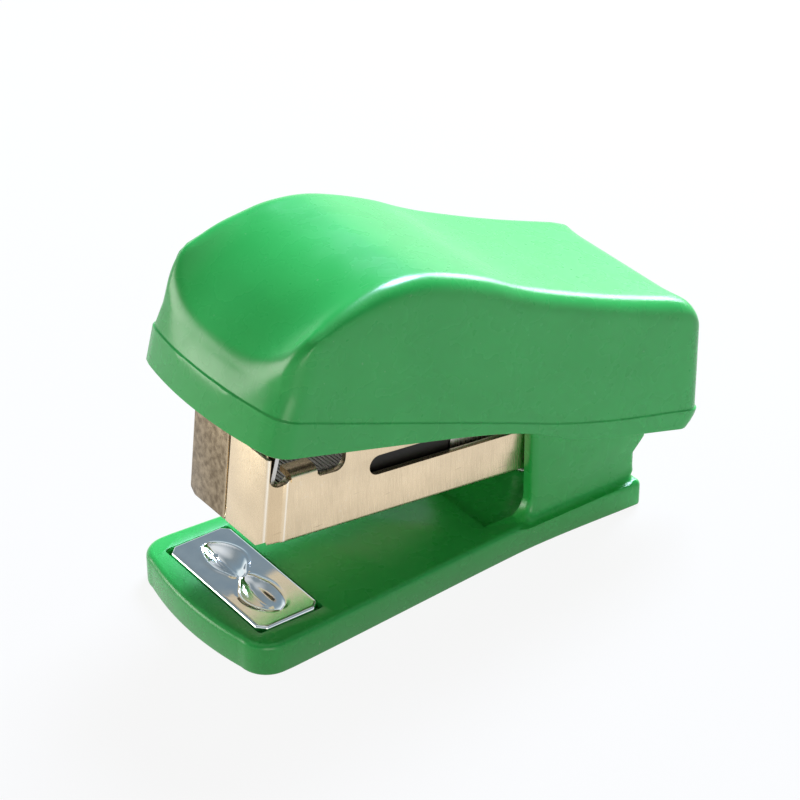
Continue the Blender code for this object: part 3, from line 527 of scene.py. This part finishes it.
def cover_outside(x, y, z, inset):
    """How far a point is outside the cover's skin, about in millimetres."""
    above = z - smoothed(BAND_LINE, x)
    proud = (BAND_PROUD if inset == 0 else 0.0) * step(0.0, 0.22, above)
    above = np.clip(above, 0, None)
    facet = np.minimum(above, FACET_HEIGHT)
    lean = NOSE_LEAN[0] * facet + NOSE_LEAN[1] * (above - facet)
    front = -REACH + NOSE_BULGE * (y / HALF) ** 2 + proud + lean - x
    side = np.abs(y) - HALF + proud + 0.02 * above
    tuck = np.clip((TAIL_BULGE - z) / (TAIL_BULGE - LOWEST), 0, None) ** 2
    rear = x - TAIL + proud + 0.25 * np.clip(z - TAIL_BULGE, 0, None) + tuck
    walls = rounded_meet(rounded_meet(front, side, NOSE_CORNER), rear, TAIL_CORNER)
    h = 0.05  # the slopes are taken over this short way
    fall_x = (cover_roof(x + h, y) - cover_roof(x - h, y)) / (2 * h)
    fall_y = (cover_roof(x, y + h) - cover_roof(x, y - h)) / (2 * h)
    roof = (z - cover_roof(x, y)) / np.sqrt(1 + fall_x**2 + fall_y**2)
    to_front, to_rear = step(-3, 3, front - side), step(-3, 3, rear - side)
    edge = EDGE_ROUND["side"] + (EDGE_ROUND["front"] - EDGE_ROUND["side"]) * to_front
    edge = edge + (EDGE_ROUND["rear"] - edge) * to_rear
    return rounded_meet(walls, roof, edge) + inset


def reach_skin(origin, towards, inset):
    """The points where rays from inside the cover meet its skin."""
    near = np.zeros(origin.shape[:-1])
    far = near + 30.0
    for _ in range(34):
        middle = (near + far) / 2
        points = origin + towards * middle[..., None]
        outside = cover_outside(points[..., 0], points[..., 1], points[..., 2], inset) > 0
        far = np.where(outside, middle, far)
        near = np.where(outside, near, middle)
    return origin + towards * near[..., None]


def cover_skin(inset):
    """Rings of the cover's skin, from its lower edge up the walls and over the top to the spine."""
    plan = cover_plan()
    low, band = smoothed(LOW_EDGE, plan[:, 0]), smoothed(BAND_LINE, plan[:, 0])
    spine = np.column_stack([np.clip(plan[:, 0], -0.86 * REACH, TAIL - 0.45 * HALF), 0 * low])
    out = plan - spine
    out /= np.linalg.norm(out, axis=1)[:, None]
    level = np.column_stack([out, 0 * low])
    rings = []
    heights = [low + (band - low) * s for s in (0, 0.12, 0.35, 0.65, 0.88)]
    heights += [band + rise for rise in (-0.06, 0.0, 0.06, 0.11, 0.16, 0.22, 0.30)]
    for z in heights:
        rings.append(reach_skin(np.column_stack([spine, z]), level, inset))
    centre = np.column_stack([spine, band + 0.30])
    angles = np.radians(np.linspace(0, 90, 181))
    up = np.array((0, 0, 1.0))
    towards = np.cos(angles)[:, None, None] * level[None] + np.sin(angles)[:, None, None] * up
    curve = reach_skin(np.broadcast_to(centre, towards.shape), towards, inset)
    # rings are closer together where the skin bends
    steps = np.diff(curve, axis=0)
    length = np.linalg.norm(steps, axis=2)
    turn = np.zeros_like(length)
    unit = steps / np.maximum(length, 1e-9)[..., None]
    turn[1:] = np.arccos(np.clip((unit[1:] * unit[:-1]).sum(2), -1, 1))
    kernel = np.ones(9) / 9
    weight = length + 2.2 * np.apply_along_axis(lambda v: np.convolve(v, kernel, "same"), 0, turn)
    travelled = np.vstack([np.zeros(weight.shape[1]), np.cumsum(weight, axis=0)])
    for share in np.linspace(0, 1, 47)[1:]:
        ring = np.empty_like(centre)
        for i in range(len(centre)):
            at = np.interp(share * travelled[-1, i], travelled[:, i], angles)
            ring[i] = (math.cos(at) * level[i, 0], math.cos(at) * level[i, 1], math.sin(at))
        rings.append(reach_skin(centre, ring, inset))
    return rings


def make_cover(finish):
    """The moulded shell, open at the tail, with two cross ribs and a ledge on each wall at either rib."""
    outer = cover_skin(0.0)
    inner = cover_skin(WALL)
    lip = []
    for share, drop in ((0.12, 0.10), (0.30, 0.16), (0.70, 0.16), (0.88, 0.10)):
        ring = outer[0] + (inner[0] - outer[0]) * share
        ring = ring - np.array((0, 0, drop))
        lip.append(ring)
    rings = inner[::-1] + lip[::-1] + outer
    shell = loft(rings, caps=False)
    changes = [("-", block((TAIL / 2, -10.0, -HALF), (2 * TAIL, 10.0, 6.2)))]
    blade = -44.98  # where the driver blade stands
    for share in (0.34, 0.68):
        x = share * blade
        top = float(cover_roof(np.array([x]), np.array([0.0]))[0]) - WALL / 2
        changes.append(("+", block((x - 0.6, -9.0, 4.8), (x + 0.6, 9.0, top))))
        for side in (-1, 1):
            low, high = sorted((side * (HALF - WALL / 2), side * 10.5))
            changes.append(("+", block((x, low, 0.5), (x + 3.0, high, 1.1))))
    mesh = carved(shell, changes)
    return piece("cover_shell", mesh, COVER, finish, "cover", ["cover"], smooth=40)


# ---------------------------------------------------------------- base
NOSE = box_mm("base")[0].x
TAIL_END = PIN.x + 3.5
POST_FRONT = TAIL_END - 15.3
THICK = 4.1
TAIL_DROP = 0.7
ANVIL = PIN.x - 45.0
ANVIL_LEG = 6.0   # the plate's legs stand this far to each side
HALF_FRONT = 12.4
BASE_CORNER = 3.4
BASE_BULGE = 1.0
BASE_WAIST = 10.4
BASE_REAR = 10.9
REAR_CORNER = 0.8
POST_HALF = 9.5
POST_SHOULDER = 17.0
POST_INSIDE = 7.8
POST_FLOOR = 2.9
BOSS_BACK, BOSS = 1.0, 4.0


def top_of_base(x):
    return THICK - TAIL_DROP * (x - NOSE) / (TAIL_END - NOSE)


def base_plan(inset):
    """The plate's outline all round, drawn in by inset."""
    half = []
    cx, cy = NOSE + BASE_BULGE + BASE_CORNER, HALF_FRONT - BASE_CORNER
    for share in np.linspace(0, 1, 15)[:-1]:
        half.append((NOSE + BASE_BULGE * share**2 + inset, share * cy))
    half += arc((cx, cy), BASE_CORNER - inset, 180, 90, 14)
    length = TAIL_END - NOSE
    knots = [
        (NOSE, HALF_FRONT), (NOSE + 0.10 * length, HALF_FRONT), (NOSE + 0.68 * length, BASE_WAIST),
        (NOSE + 0.80 * length, BASE_WAIST), (TAIL_END, BASE_REAR),
    ]
    for x in np.linspace(cx, TAIL_END - REAR_CORNER, 40)[1:]:
        half.append((x, float(smoothed(knots, x)) - inset))
    half += arc((TAIL_END - REAR_CORNER, BASE_REAR - REAR_CORNER), REAR_CORNER - inset, 75, 0, 5)
    half.append((TAIL_END - inset, 5.0))
    half.append((TAIL_END - inset, 0.0))
    half = np.array(half)
    return np.vstack([half, (half * (1, -1))[-2:0:-1]])


def make_plate():
    """The base plate with its rounded edges."""
    rings = []
    low_edge, high_edge = 0.35, 0.80
    for t in np.linspace(0, 1, 4):
        a = t * math.pi / 2
        outline = base_plan(low_edge * (1 - math.sin(a)))
        rings.append([(x, y, low_edge * (1 - math.cos(a))) for x, y in outline])
    for t in np.linspace(0, 1, 8):
        a = t * math.pi / 2
        outline = base_plan(min(high_edge * (1 - math.cos(a)), 0.78))
        rings.append([(x, y, top_of_base(x) - high_edge * (1 - math.sin(a))) for x, y in outline])
    return loft(rings)


def make_post():
    """The hinge post: a flared foot, rounded upright corners and the boss about the pin."""
    foot = top_of_base(16.0) - 0.12
    boss = PIN.x + BOSS_BACK
    levels = np.concatenate([
        foot + 3.0 * (np.linspace(0, 1, 14) ** 1.6), np.linspace(foot + 3.2, POST_SHOULDER, 14),
        PIN.z + BOSS * np.sin(np.radians(np.linspace(24, 89, 12))),
    ])
    # how far the rear edge stands back, at these heights
    hook = ((0, 6.4, 6.8, 7.8, 8.4, 8.9, 15.5), (0, 0, 0.15, 1.35, 1.75, 1.8, 1.5))
    rings = []
    for z in levels:
        rise = z - foot
        flare, flank = (
            r - math.sqrt(max(r**2 - (r - min(rise, r)) ** 2, 0)) for r in (2.8, 1.3)
        )
        front = POST_FRONT - flare
        reach = math.sqrt(max(BOSS**2 - (z - PIN.z) ** 2, 0)) if z > PIN.z - BOSS else 0
        rear = TAIL_END - 0.5 * float(step(foot + 0.7, foot + 0.2, z)) + float(np.interp(z, *hook))
        if z > PIN.z:
            rear = boss + reach
        if z > POST_SHOULDER:
            front = max(boss - reach, POST_FRONT + 8.0 * step(POST_SHOULDER, POST_SHOULDER + 0.4, z))
        rear = max(rear, front + 0.4)
        half = POST_HALF + flank
        radius = min(0.9 + 0.6 * flank, (rear - front) / 2 - 0.01)
        rings.append([(x, y, z) for x, y in rounded((front, -half), (rear, half), radius, 5)])
    return loft(rings)


def make_base(finish):
    """Plate and post, with the post's inside, the spring's peg, the anvil's recess and the hollows below."""
    high = 2 * PIN.z
    lift = in_magazine(FRONT + LIFT, FLOOR)
    rim, rib = 2.4, 2.4
    changes = [
        ("+", make_post()),
        ("-", block((POST_FRONT - 5.6, -POST_INSIDE, POST_FLOOR), (TAIL_END - 1.9, POST_INSIDE, high))),
        ("-", block((PIN.x, -POST_INSIDE, 6.6), (TAIL_END + 7.0, POST_INSIDE, high))),
        ("-", drum((PIN.x, 0, PIN.z), (0, 1, 0), PIN_HOLE, 40.0)),
        ("+", drum((lift.x, 0, POST_FLOOR + 0.65), (0, 0, 1), 1.2, 1.7, 32)),
        ("-", prism(rounded((ANVIL - 4.25, -9.6), (ANVIL + 4.25, 9.6), 0.5), 2.9, 9.0)),
        ("-", prism(rounded((NOSE + rim + 1.7, -8.8), (-rib, 8.8), 1.2), -1.0, 1.4)),
        ("-", prism(rounded((rib, -8.0), (TAIL_END - rim, 8.0), 1.2), -1.0, 1.4)),
    ]
    for side in (-1, 1):
        y = side * ANVIL_LEG
        changes.append(("-", block((ANVIL - 1.8, y - 0.55, -1), (ANVIL + 1.8, y + 0.55, 8))))
    mesh = carved(make_plate(), changes, bevel=0.18, segments=3, angle=48)
    return piece("base_shell", mesh, WORLD, finish, "base", ["base"], smooth=40)


def anvil_height(x, y):
    """Two leaf-shaped crimping pockets, end to end, each a V groove with a soft raised lip round it."""
    v = (np.abs(y) - 3.75) / 3.85
    inside = np.clip(1 - v**2, 0, 1)
    half = 1.95 * inside ** np.where(v < 0, 1.0, 0.60) + 0.34 * step(1.6, 0.0, np.abs(y))
    middle = 0.35 * np.sin(np.clip(y / 3.85, -1.9, 1.9) * math.pi / 2) * step(0.3, 2.0, np.abs(y))
    across = np.abs(x - middle) / np.maximum(half, 1e-3)
    groove = np.clip(1.04 - np.sqrt(across**2 + 0.006), 0, 1)
    flute = 0.05 * np.cos(across * 9.0) * np.clip(1 - across, 0, 1)
    depth = (1.05 * groove + flute) * np.clip(inside, 0, 1) ** 0.6
    neck = 0.18 * np.exp(-((y / 0.9) ** 2)) * np.clip(1 - (x / 0.6) ** 2, 0, 1)
    lip = np.exp(-(((across - 1.12) * np.maximum(half, 0.4)) / 0.26) ** 2) * step(8.6, 7.4, np.abs(y))
    return 0.09 * lip - np.maximum(depth, neck)


def crowded(count, share):
    """Places from -1 to 1, crowded towards both ends by share."""
    even = np.linspace(-1, 1, count)
    sine = np.sin(even * math.pi / 2 * 0.98) / math.sin(math.pi / 2 * 0.98)
    return share * sine + (1 - share) * even


def make_anvil(finish):
    """The pressed plate with clipped corners, turned down all round, and its two legs bent under the base."""
    low, high = box_mm("anvil_plate")
    middle = (low + high) / 2
    half_x, half_y, clip, edge = (high.x - low.x) / 2, (high.y - low.y) / 2, 1.0, 0.42
    us, vs = crowded(61, 0.55), crowded(141, 0.35)
    points, faces = [], []
    for v in vs:
        y = v * half_y
        reach = half_x - max(0.0, abs(y) - (half_y - clip))
        for u in us:
            x = u * reach
            d = min(reach - abs(x), half_y - abs(y))
            drop = edge - math.sqrt(max(edge**2 - max(edge - d, 0) ** 2, 0))
            z = high.z - 0.10 - drop + float(anvil_height(np.array(x), np.array(y)))
            points.append((middle.x + x, y, z))
    n = len(us)
    for r in range(len(vs) - 1):
        for i in range(n - 1):
            faces.append((r * n + i, r * n + i + 1, (r + 1) * n + i + 1, (r + 1) * n + i))
    bm = bmesh.new()
    bm.from_mesh(mesh_of(points, faces))
    border = [e for e in bm.edges if e.is_boundary]
    made = bmesh.ops.extrude_edge_only(bm, edges=border)
    for v in made["geom"]:
        if isinstance(v, bmesh.types.BMVert):
            v.co.z = high.z - 1.2
    bmesh.ops.recalc_face_normals(bm, faces=bm.faces)
    sheet = bpy.data.meshes.new("sheet")
    bm.to_mesh(sheet)
    bm.free()
    if sum(p.normal.z * p.area for p in sheet.polygons) < 0:
        sheet.flip_normals()
    helper = bpy.data.objects.new("sheet", sheet)
    bpy.context.scene.collection.objects.link(helper)
    thick = helper.modifiers.new("thick", "SOLIDIFY")
    thick.thickness = 0.30
    thick.offset = -1
    bpy.context.view_layer.update()
    plate = bpy.data.meshes.new_from_object(helper.evaluated_get(bpy.context.evaluated_depsgraph_get()))
    bpy.data.objects.remove(helper)
    legs = []
    for side in (-1, 1):
        y = side * ANVIL_LEG
        legs.append(block((ANVIL - 1.5, y - 0.25, 0.6), (ANVIL + 1.5, y + 0.25, 3.6)))
        a, b = sorted((y + side * 0.2, y - side * 3.0))
        legs.append(block((ANVIL - 1.5, a, 0.6), (ANVIL + 1.5, b, 1.1)))
    mesh = joined([plate, *legs])
    return piece(
        "anvil_chrome_plate", mesh, WORLD, finish, "base", ["anvil_plate"], smooth=50,
    )


# ---------------------------------------------------------------- magazine
def make_magazine(finish):
    """The folded channel: bent bands at its front corners, flaps, relief holes, tabs, notches and slots."""
    half, sheet = 7.5, 0.7
    end = 4.5

    def at(points):
        """Points given as distances behind the front and above the floor."""
        return [(FRONT + s, FLOOR + t) for s, t in points]

    def round_at(s, t, radius, start, end, count):
        return [
            (FRONT + s + radius * math.cos(w), FLOOR + t + radius * math.sin(w))
            for w in np.radians(np.linspace(start, end, count))
        ]

    def plan(inset, front):
        side = [(front, 6.80 - inset), (front + 0.10, 7.02 - inset), (front + 0.30, 7.20 - inset),
                (front + 0.55, 7.16 - inset), (front + 2.15, 7.34 - inset), (front + 2.38, 7.50 - inset),
                (front + 2.62, 7.56 - inset), (front + 2.95, half - inset), (end + 3 * inset, half - inset)]
        return side + [(x, -y) for x, y in reversed(side)]

    def channel(outline, low, high, radius, steps=5):
        """A prism of the outline whose lower edge is rounded."""
        rings = []
        for t in np.linspace(0, 1, steps + 1):
            a = t * math.pi / 2
            shrink = radius * (1 - math.sin(a))
            rings.append([
                (x, math.copysign(abs(y) - shrink, y), low + radius * (1 - math.cos(a))) for x, y in outline
            ])
        rings.append([(x, y, high) for x, y in outline])
        return loft(rings)

    outer = channel(plan(0, FRONT), FLOOR - 0.4, FLOOR + 10.6, 0.75)
    inner = channel(plan(sheet, FRONT + sheet), FLOOR + 0.6, FLOOR + 14, 0.25, 3)
    behind, staple_exit = FRONT + sheet, 1.9
    changes = [
        ("-", block((behind, -10, FLOOR - 2), (end + 5, 10, FLOOR))),
        ("-", inner),
        ("-", block((behind, -10, FLOOR + 10.4), (end + 5, 10, FLOOR + 14))),
        ("-", block((behind, -half + sheet, FLOOR - 2), (behind + staple_exit, half - sheet, FLOOR + 1.2))),
    ]
    seam = [(-0.10, FLOOR - 3), (0.10, FLOOR - 3), (0.26, FLOOR + 14), (-0.22, FLOOR + 14)]
    changes.append(("-", prism(seam, FRONT - 3, FRONT + sheet + 0.3, "X")))
    for side in (-1, 1):
        corner = [
            (side * 5.9, FLOOR - 0.45), (side * 7.6, FLOOR + 0.8), (side * 9.0, FLOOR + 0.8),
            (side * 9.0, FLOOR - 2), (side * 5.9, FLOOR - 2),
        ]
        changes.append(("-", prism(corner, FRONT - 3, FRONT + sheet, "X")))
        a, b = sorted((side * (half - sheet - 0.6), side * 12))
        hole = at([(0.55, 14), (0.40, 8.3)]) + round_at(1.60, 8.28, 1.22, 190, 350, 12)
        hole += at([(2.88, 8.3), (2.88, 14)])
        tuck = at([(2.7, 14), (2.7, 7.72), (6.5, 7.72), (6.5, 14)])
        notch = at([(6.35, 14), (6.35, 7.5), (6.75, 7.15), (8.6, 7.1)])
        notch += round_at(8.75, 8.35, 1.25, -80, 0, 8) + at([(10.0, 14)])
        r = 1.225
        slot = arc((FRONT + 13.4 + r, FLOOR + 5.1 + r), r, 90, 270, 14)
        slot += arc((FRONT + 38.0 - r, FLOOR + 5.1 + r), r, -90, 90, 14)
        changes += [("-", prism(outline, a, b, "Y")) for outline in (hole, tuck, notch, slot)]
    changes.append(("-", drum((0, 0, 0), (0, 1, 0), PIN_HOLE, 30.0)))
    body = carved(outer, changes, bevel=0.07, segments=2, angle=55)
    tabs = []
    for side in (-1, 1):
        flat = [
            (half - sheet - 1.5, 8.4), (half - sheet - 1.5, 7.72), (half - sheet, 7.6), (half - sheet, 7.4),
            (half + 0.10, 7.4),
        ]
        profile = [(side * y, FLOOR + t) for y, t in flat] + [
            (side * (half + 0.10 - 1.3 * (1 - math.cos(w))), FLOOR + 7.7 + 0.75 * math.sin(w))
            for w in np.radians(np.linspace(0, 90, 9))
        ]
        tabs.append(prism(profile, FRONT + 2.98, FRONT + 6.33, "X"))
    mesh = joined([body, *tabs])
    return piece(
        "magazine_channel", mesh, MAGAZINE, finish, "magazine", ["magazine"], smooth=38,
    )


def make_staples(finish):
    """Twenty staples, each with rounded shoulders, in a close strip."""
    low, pitch, count = FRONT + 2.6, 0.5, 20
    inner, wire, shoulder = 5.95, 0.5, 0.55
    top = FLOOR + 6.8
    bottom = FLOOR + 0.9
    outline = [(-inner - wire, bottom), (-inner - wire, top - shoulder)]
    outline += arc((-inner - wire + shoulder, top - shoulder), shoulder, 180, 90, 5)
    outline += [(-y, z) for y, z in reversed(outline)]
    hollow = [(inner, bottom), (inner, top - wire), (-inner, top - wire), (-inner, bottom)]
    one = prism(outline + hollow, 0.02, pitch - 0.02, "X")
    every = []
    for i in range(count):
        copy = one.copy()
        copy.transform(Matrix.Translation((low + i * pitch, 0, 0)))
        every.append(copy)
    mesh = carved(joined(every), [], bevel=0.07, segments=2, angle=50)
    return piece("staples", mesh, MAGAZINE, finish, "magazine", ["staple_strip"])


def coil(name, path, wire, space, finish, node, ends):
    """A spring's wire along a path between two bodies, baked into the model's frame and attached to neither."""
    mesh = tube(path, wire)
    spring = piece(name, mesh, space, finish, ends[0], [node], smooth=60, ride=False)
    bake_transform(spring)


def make_springs(finish):
    height = FLOOR + 3.2
    first, last = -15.16 + 0.52, FRONT + 41.8 - 0.52
    path = helix((first, 0, height), (last, 0, height), 1.5, 7.0)
    coil("pusher_coil", path, 0.22, MAGAZINE, finish, "pusher_spring", ("magazine", "pusher"))

    wire, radius = 0.30, 2.5
    seat = in_magazine(FRONT + LIFT, FLOOR)
    low_z = POST_FLOOR + 0.3 + wire
    high_z = seat.z - radius * math.sin(MAGAZINE_TILT) - 2 * wire
    path = helix((seat.x, 0, low_z), (seat.x, 0, high_z), radius, 4.0)
    coil("lift_coil", path, wire, WORLD, finish, "lift_spring", ("base", "magazine"))

    turns = 5.0
    half = turns * wire * 2.6 / 2
    body = helix((0, -half, 0), (0, half, 0), 2.4, turns)
    press = COVER_TILT - MAGAZINE_TILT
    lower = Vector((-9.6, body[0].y, FLOOR + 6.0 + 0.6))
    upper = Vector((
        -11.5 * math.cos(press) + 3.7 * math.sin(press), body[-1].y,
        11.5 * math.sin(press) + 3.7 * math.cos(press) - 0.3 - 0.36,
    ))
    path = [lower.lerp(body[0], t) for t in np.linspace(0, 1, 8)[:-1]] + body
    path += [body[-1].lerp(upper, t) for t in np.linspace(0, 1, 8)[1:]]
    coil("return_coil", path, wire, MAGAZINE, finish, "return_spring", ("magazine", "cover"))


# ---------------------------------------------------------------- stage, light and camera
def background_share(nodes, links, share):
    """A socket that is share for camera, glossy and transmission rays, and 0 for the rest."""
    path = nodes.new("ShaderNodeLightPath")
    seen = path.outputs["Is Camera Ray"]
    for name in ("Is Glossy Ray", "Is Transmission Ray"):
        both = nodes.new("ShaderNodeMath")
        both.operation = "MAXIMUM"
        links.new(seen, both.inputs[0])
        links.new(path.outputs[name], both.inputs[1])
        seen = both.outputs[0]
    scaled = nodes.new("ShaderNodeMath")
    scaled.operation = "MULTIPLY"
    scaled.inputs[1].default_value = share
    links.new(seen, scaled.inputs[0])
    return scaled.outputs[0]


def world_light():
    """Soft grey light. Glossy surfaces see a room, pale low down and overhead and greyer between, and the
    camera sees plain white."""
    world = bpy.data.worlds.new("studio")
    bpy.context.scene.world = world
    world.use_nodes = True
    nodes, links = world.node_tree.nodes, world.node_tree.links
    nodes.clear()
    soft = nodes.new("ShaderNodeBackground")
    soft.inputs["Color"].default_value = (0.90, 0.96, 1.0, 1)
    soft.inputs["Strength"].default_value = 0.12
    where = nodes.new("ShaderNodeTexCoord")
    split = nodes.new("ShaderNodeSeparateXYZ")
    links.new(where.outputs["Generated"], split.inputs[0])
    ramp = nodes.new("ShaderNodeValToRGB")
    links.new(split.outputs["Z"], ramp.inputs[0])
    stops = [
        (0.0, (1, 1, 1)), (0.20, (0.85, 0.97, 1.0)), (0.42, (0.24, 0.33, 0.40)), (0.74, (0.24, 0.29, 0.32)),
        (0.92, (0.85, 0.88, 0.9)),
    ]
    for _ in stops[2:]:
        ramp.color_ramp.elements.new(0.5)
    for element, (place, colour) in zip(ramp.color_ramp.elements, stops):
        element.position = place
        element.color = (*colour, 1)
    room = nodes.new("ShaderNodeBackground")
    links.new(ramp.outputs[0], room.inputs["Color"])
    mix = nodes.new("ShaderNodeMixShader")
    links.new(background_share(nodes, links, 1.0), mix.inputs[0])
    links.new(soft.outputs[0], mix.inputs[1])
    links.new(room.outputs[0], mix.inputs[2])
    plain = nodes.new("ShaderNodeBackground")
    plain.inputs["Color"].default_value = (1, 1, 1, 1)
    behind = nodes.new("ShaderNodeMixShader")
    links.new(nodes.new("ShaderNodeLightPath").outputs["Is Camera Ray"], behind.inputs[0])
    links.new(mix.outputs[0], behind.inputs[1])
    links.new(plain.outputs[0], behind.inputs[2])
    out = nodes.new("ShaderNodeOutputWorld")
    links.new(behind.outputs[0], out.inputs["Surface"])


def make_floor():
    """A round white floor that keeps the object's shadow."""
    radius, thickness = 1.4, 0.004  # metres
    outline = arc((0, 0), radius, 0, 360, 96)[:-1]
    floor = bpy.data.objects.new("floor", prism(outline, -thickness, 0.0))
    bpy.context.scene.collection.objects.link(floor)
    made = bpy.data.materials.new("floor")
    made.use_nodes = True
    nodes, links = made.node_tree.nodes, made.node_tree.links
    nodes.clear()
    matte = nodes.new("ShaderNodeBsdfDiffuse")
    matte.inputs["Color"].default_value = (0.55, 0.55, 0.55, 1)
    glow = nodes.new("ShaderNodeEmission")
    glow.inputs["Strength"].default_value = 1.0
    mix = nodes.new("ShaderNodeMixShader")
    links.new(background_share(nodes, links, 0.91), mix.inputs[0])
    links.new(matte.outputs[0], mix.inputs[1])
    links.new(glow.outputs[0], mix.inputs[2])
    out = nodes.new("ShaderNodeOutputMaterial")
    links.new(mix.outputs[0], out.inputs["Surface"])
    floor.data.materials.append(made)


def softbox(name, direction, distance, size, power, colour):
    """A lamp with a soft square face, at a distance in metres, turned to the object."""
    data = bpy.data.lights.new(name, "AREA")
    data.shape = "RECTANGLE"
    data.size, data.size_y = size
    data.energy = power
    data.color = colour
    lamp = bpy.data.objects.new(name, data)
    bpy.context.scene.collection.objects.link(lamp)
    towards = Vector(direction).normalized()
    lamp.location = Vector((0, 0, 0.02)) + towards * distance
    lamp.rotation_mode = "QUATERNION"
    lamp.rotation_quaternion = towards.to_track_quat("Z", "Y")
    lamp.visible_camera = False


def make_camera():
    """A long lens from the near front, above the object."""
    azimuth, elevation, roll = (math.radians(a) for a in (-36.0408, 32.7488, -0.3268))
    back = Vector((
        math.sin(azimuth) * math.cos(elevation), -math.cos(azimuth) * math.cos(elevation), math.sin(elevation)
    ))
    flat = Vector((math.cos(azimuth), math.sin(azimuth), 0))
    rise = back.cross(flat)
    right = math.cos(roll) * flat + math.sin(roll) * rise
    up = math.cos(roll) * rise - math.sin(roll) * flat
    data = bpy.data.cameras.new("camera")
    data.sensor_width = 36.0
    data.lens = 130.5
    data.clip_start = 0.01
    camera = bpy.data.objects.new("camera", data)
    bpy.context.scene.collection.objects.link(camera)
    turn = Matrix((right, up, back)).transposed().to_4x4()
    camera.matrix_world = Matrix.Translation(PIN * MM + Vector((-0.18319, -0.21956, 0.17822))) @ turn
    bpy.context.scene.camera = camera


# ---------------------------------------------------------------- the stapler
green_cover = green_plastic("green_cover", 0.0)
green_base = green_plastic("green_base", 1.3)
magazine_front = Vector((math.cos(MAGAZINE_TILT), 0, -math.sin(MAGAZINE_TILT))).dot(in_magazine(FRONT, 0))
# the magazine steel's warm beige stands in for a painted reflection of warm surroundings
warm_steel = folded_steel("warm_steel", (0.80, 0.65, 0.45), 0.27, spots=0.15, front=magazine_front)
plain_steel = folded_steel("plain_steel", (0.58, 0.55, 0.50), 0.32)
blade_steel = folded_steel("blade_steel", (0.60, 0.59, 0.57), 0.24)
staple_steel = folded_steel("staple_steel", (0.42, 0.42, 0.41), 0.24, grain=(1, 0.05, 1))
pin_steel = folded_steel("pin_steel", (0.66, 0.65, 0.63), 0.22, grain=(1, 0.05, 1))
anvil_chrome = chrome("anvil_mirror")
dark_plastic = black_plastic("dark_plastic")
coil_steel = spring_wire("coil_steel")

make_cover(green_cover)
make_base(green_base)
make_anvil(anvil_chrome)
make_magazine(warm_steel)
make_staples(staple_steel)
make_springs(coil_steel)

for node, finish in {
    "staple_rail": plain_steel, "guide_rod": pin_steel, "spring_stop": plain_steel, "pusher": dark_plastic,
    "pusher_carriage": blade_steel, "pusher_rivet": pin_steel, "cover_frame": plain_steel,
    "driver_blade": blade_steel, "blade_rivet_left": pin_steel, "blade_rivet_right": pin_steel,
    "hinge_pin": pin_steel, "pin_clip": pin_steel,
}.items():
    for material_slot in frame["nodes"][node].material_slots:
        material_slot.material = finish

bpy.context.scene.view_settings.view_transform = "Standard"
world_light()
make_floor()
softbox("key", (0.56, 0.36, 0.75), 0.42, (0.16, 0.16), 3.9, (0.61, 0.73, 1.0))
softbox("window", (0.86, 0.38, 0.36), 0.50, (0.18, 0.18), 1.5, (0.82, 0.96, 1.0))
softbox("fill", (-0.45, -0.85, 0.18), 0.50, (0.30, 0.24), 0.62, (1.0, 0.98, 0.84))
softbox("edge", (-0.74, 0.65, 0.15), 0.45, (0.24, 0.20), 0.8, (1.0, 0.98, 0.88))
make_camera()
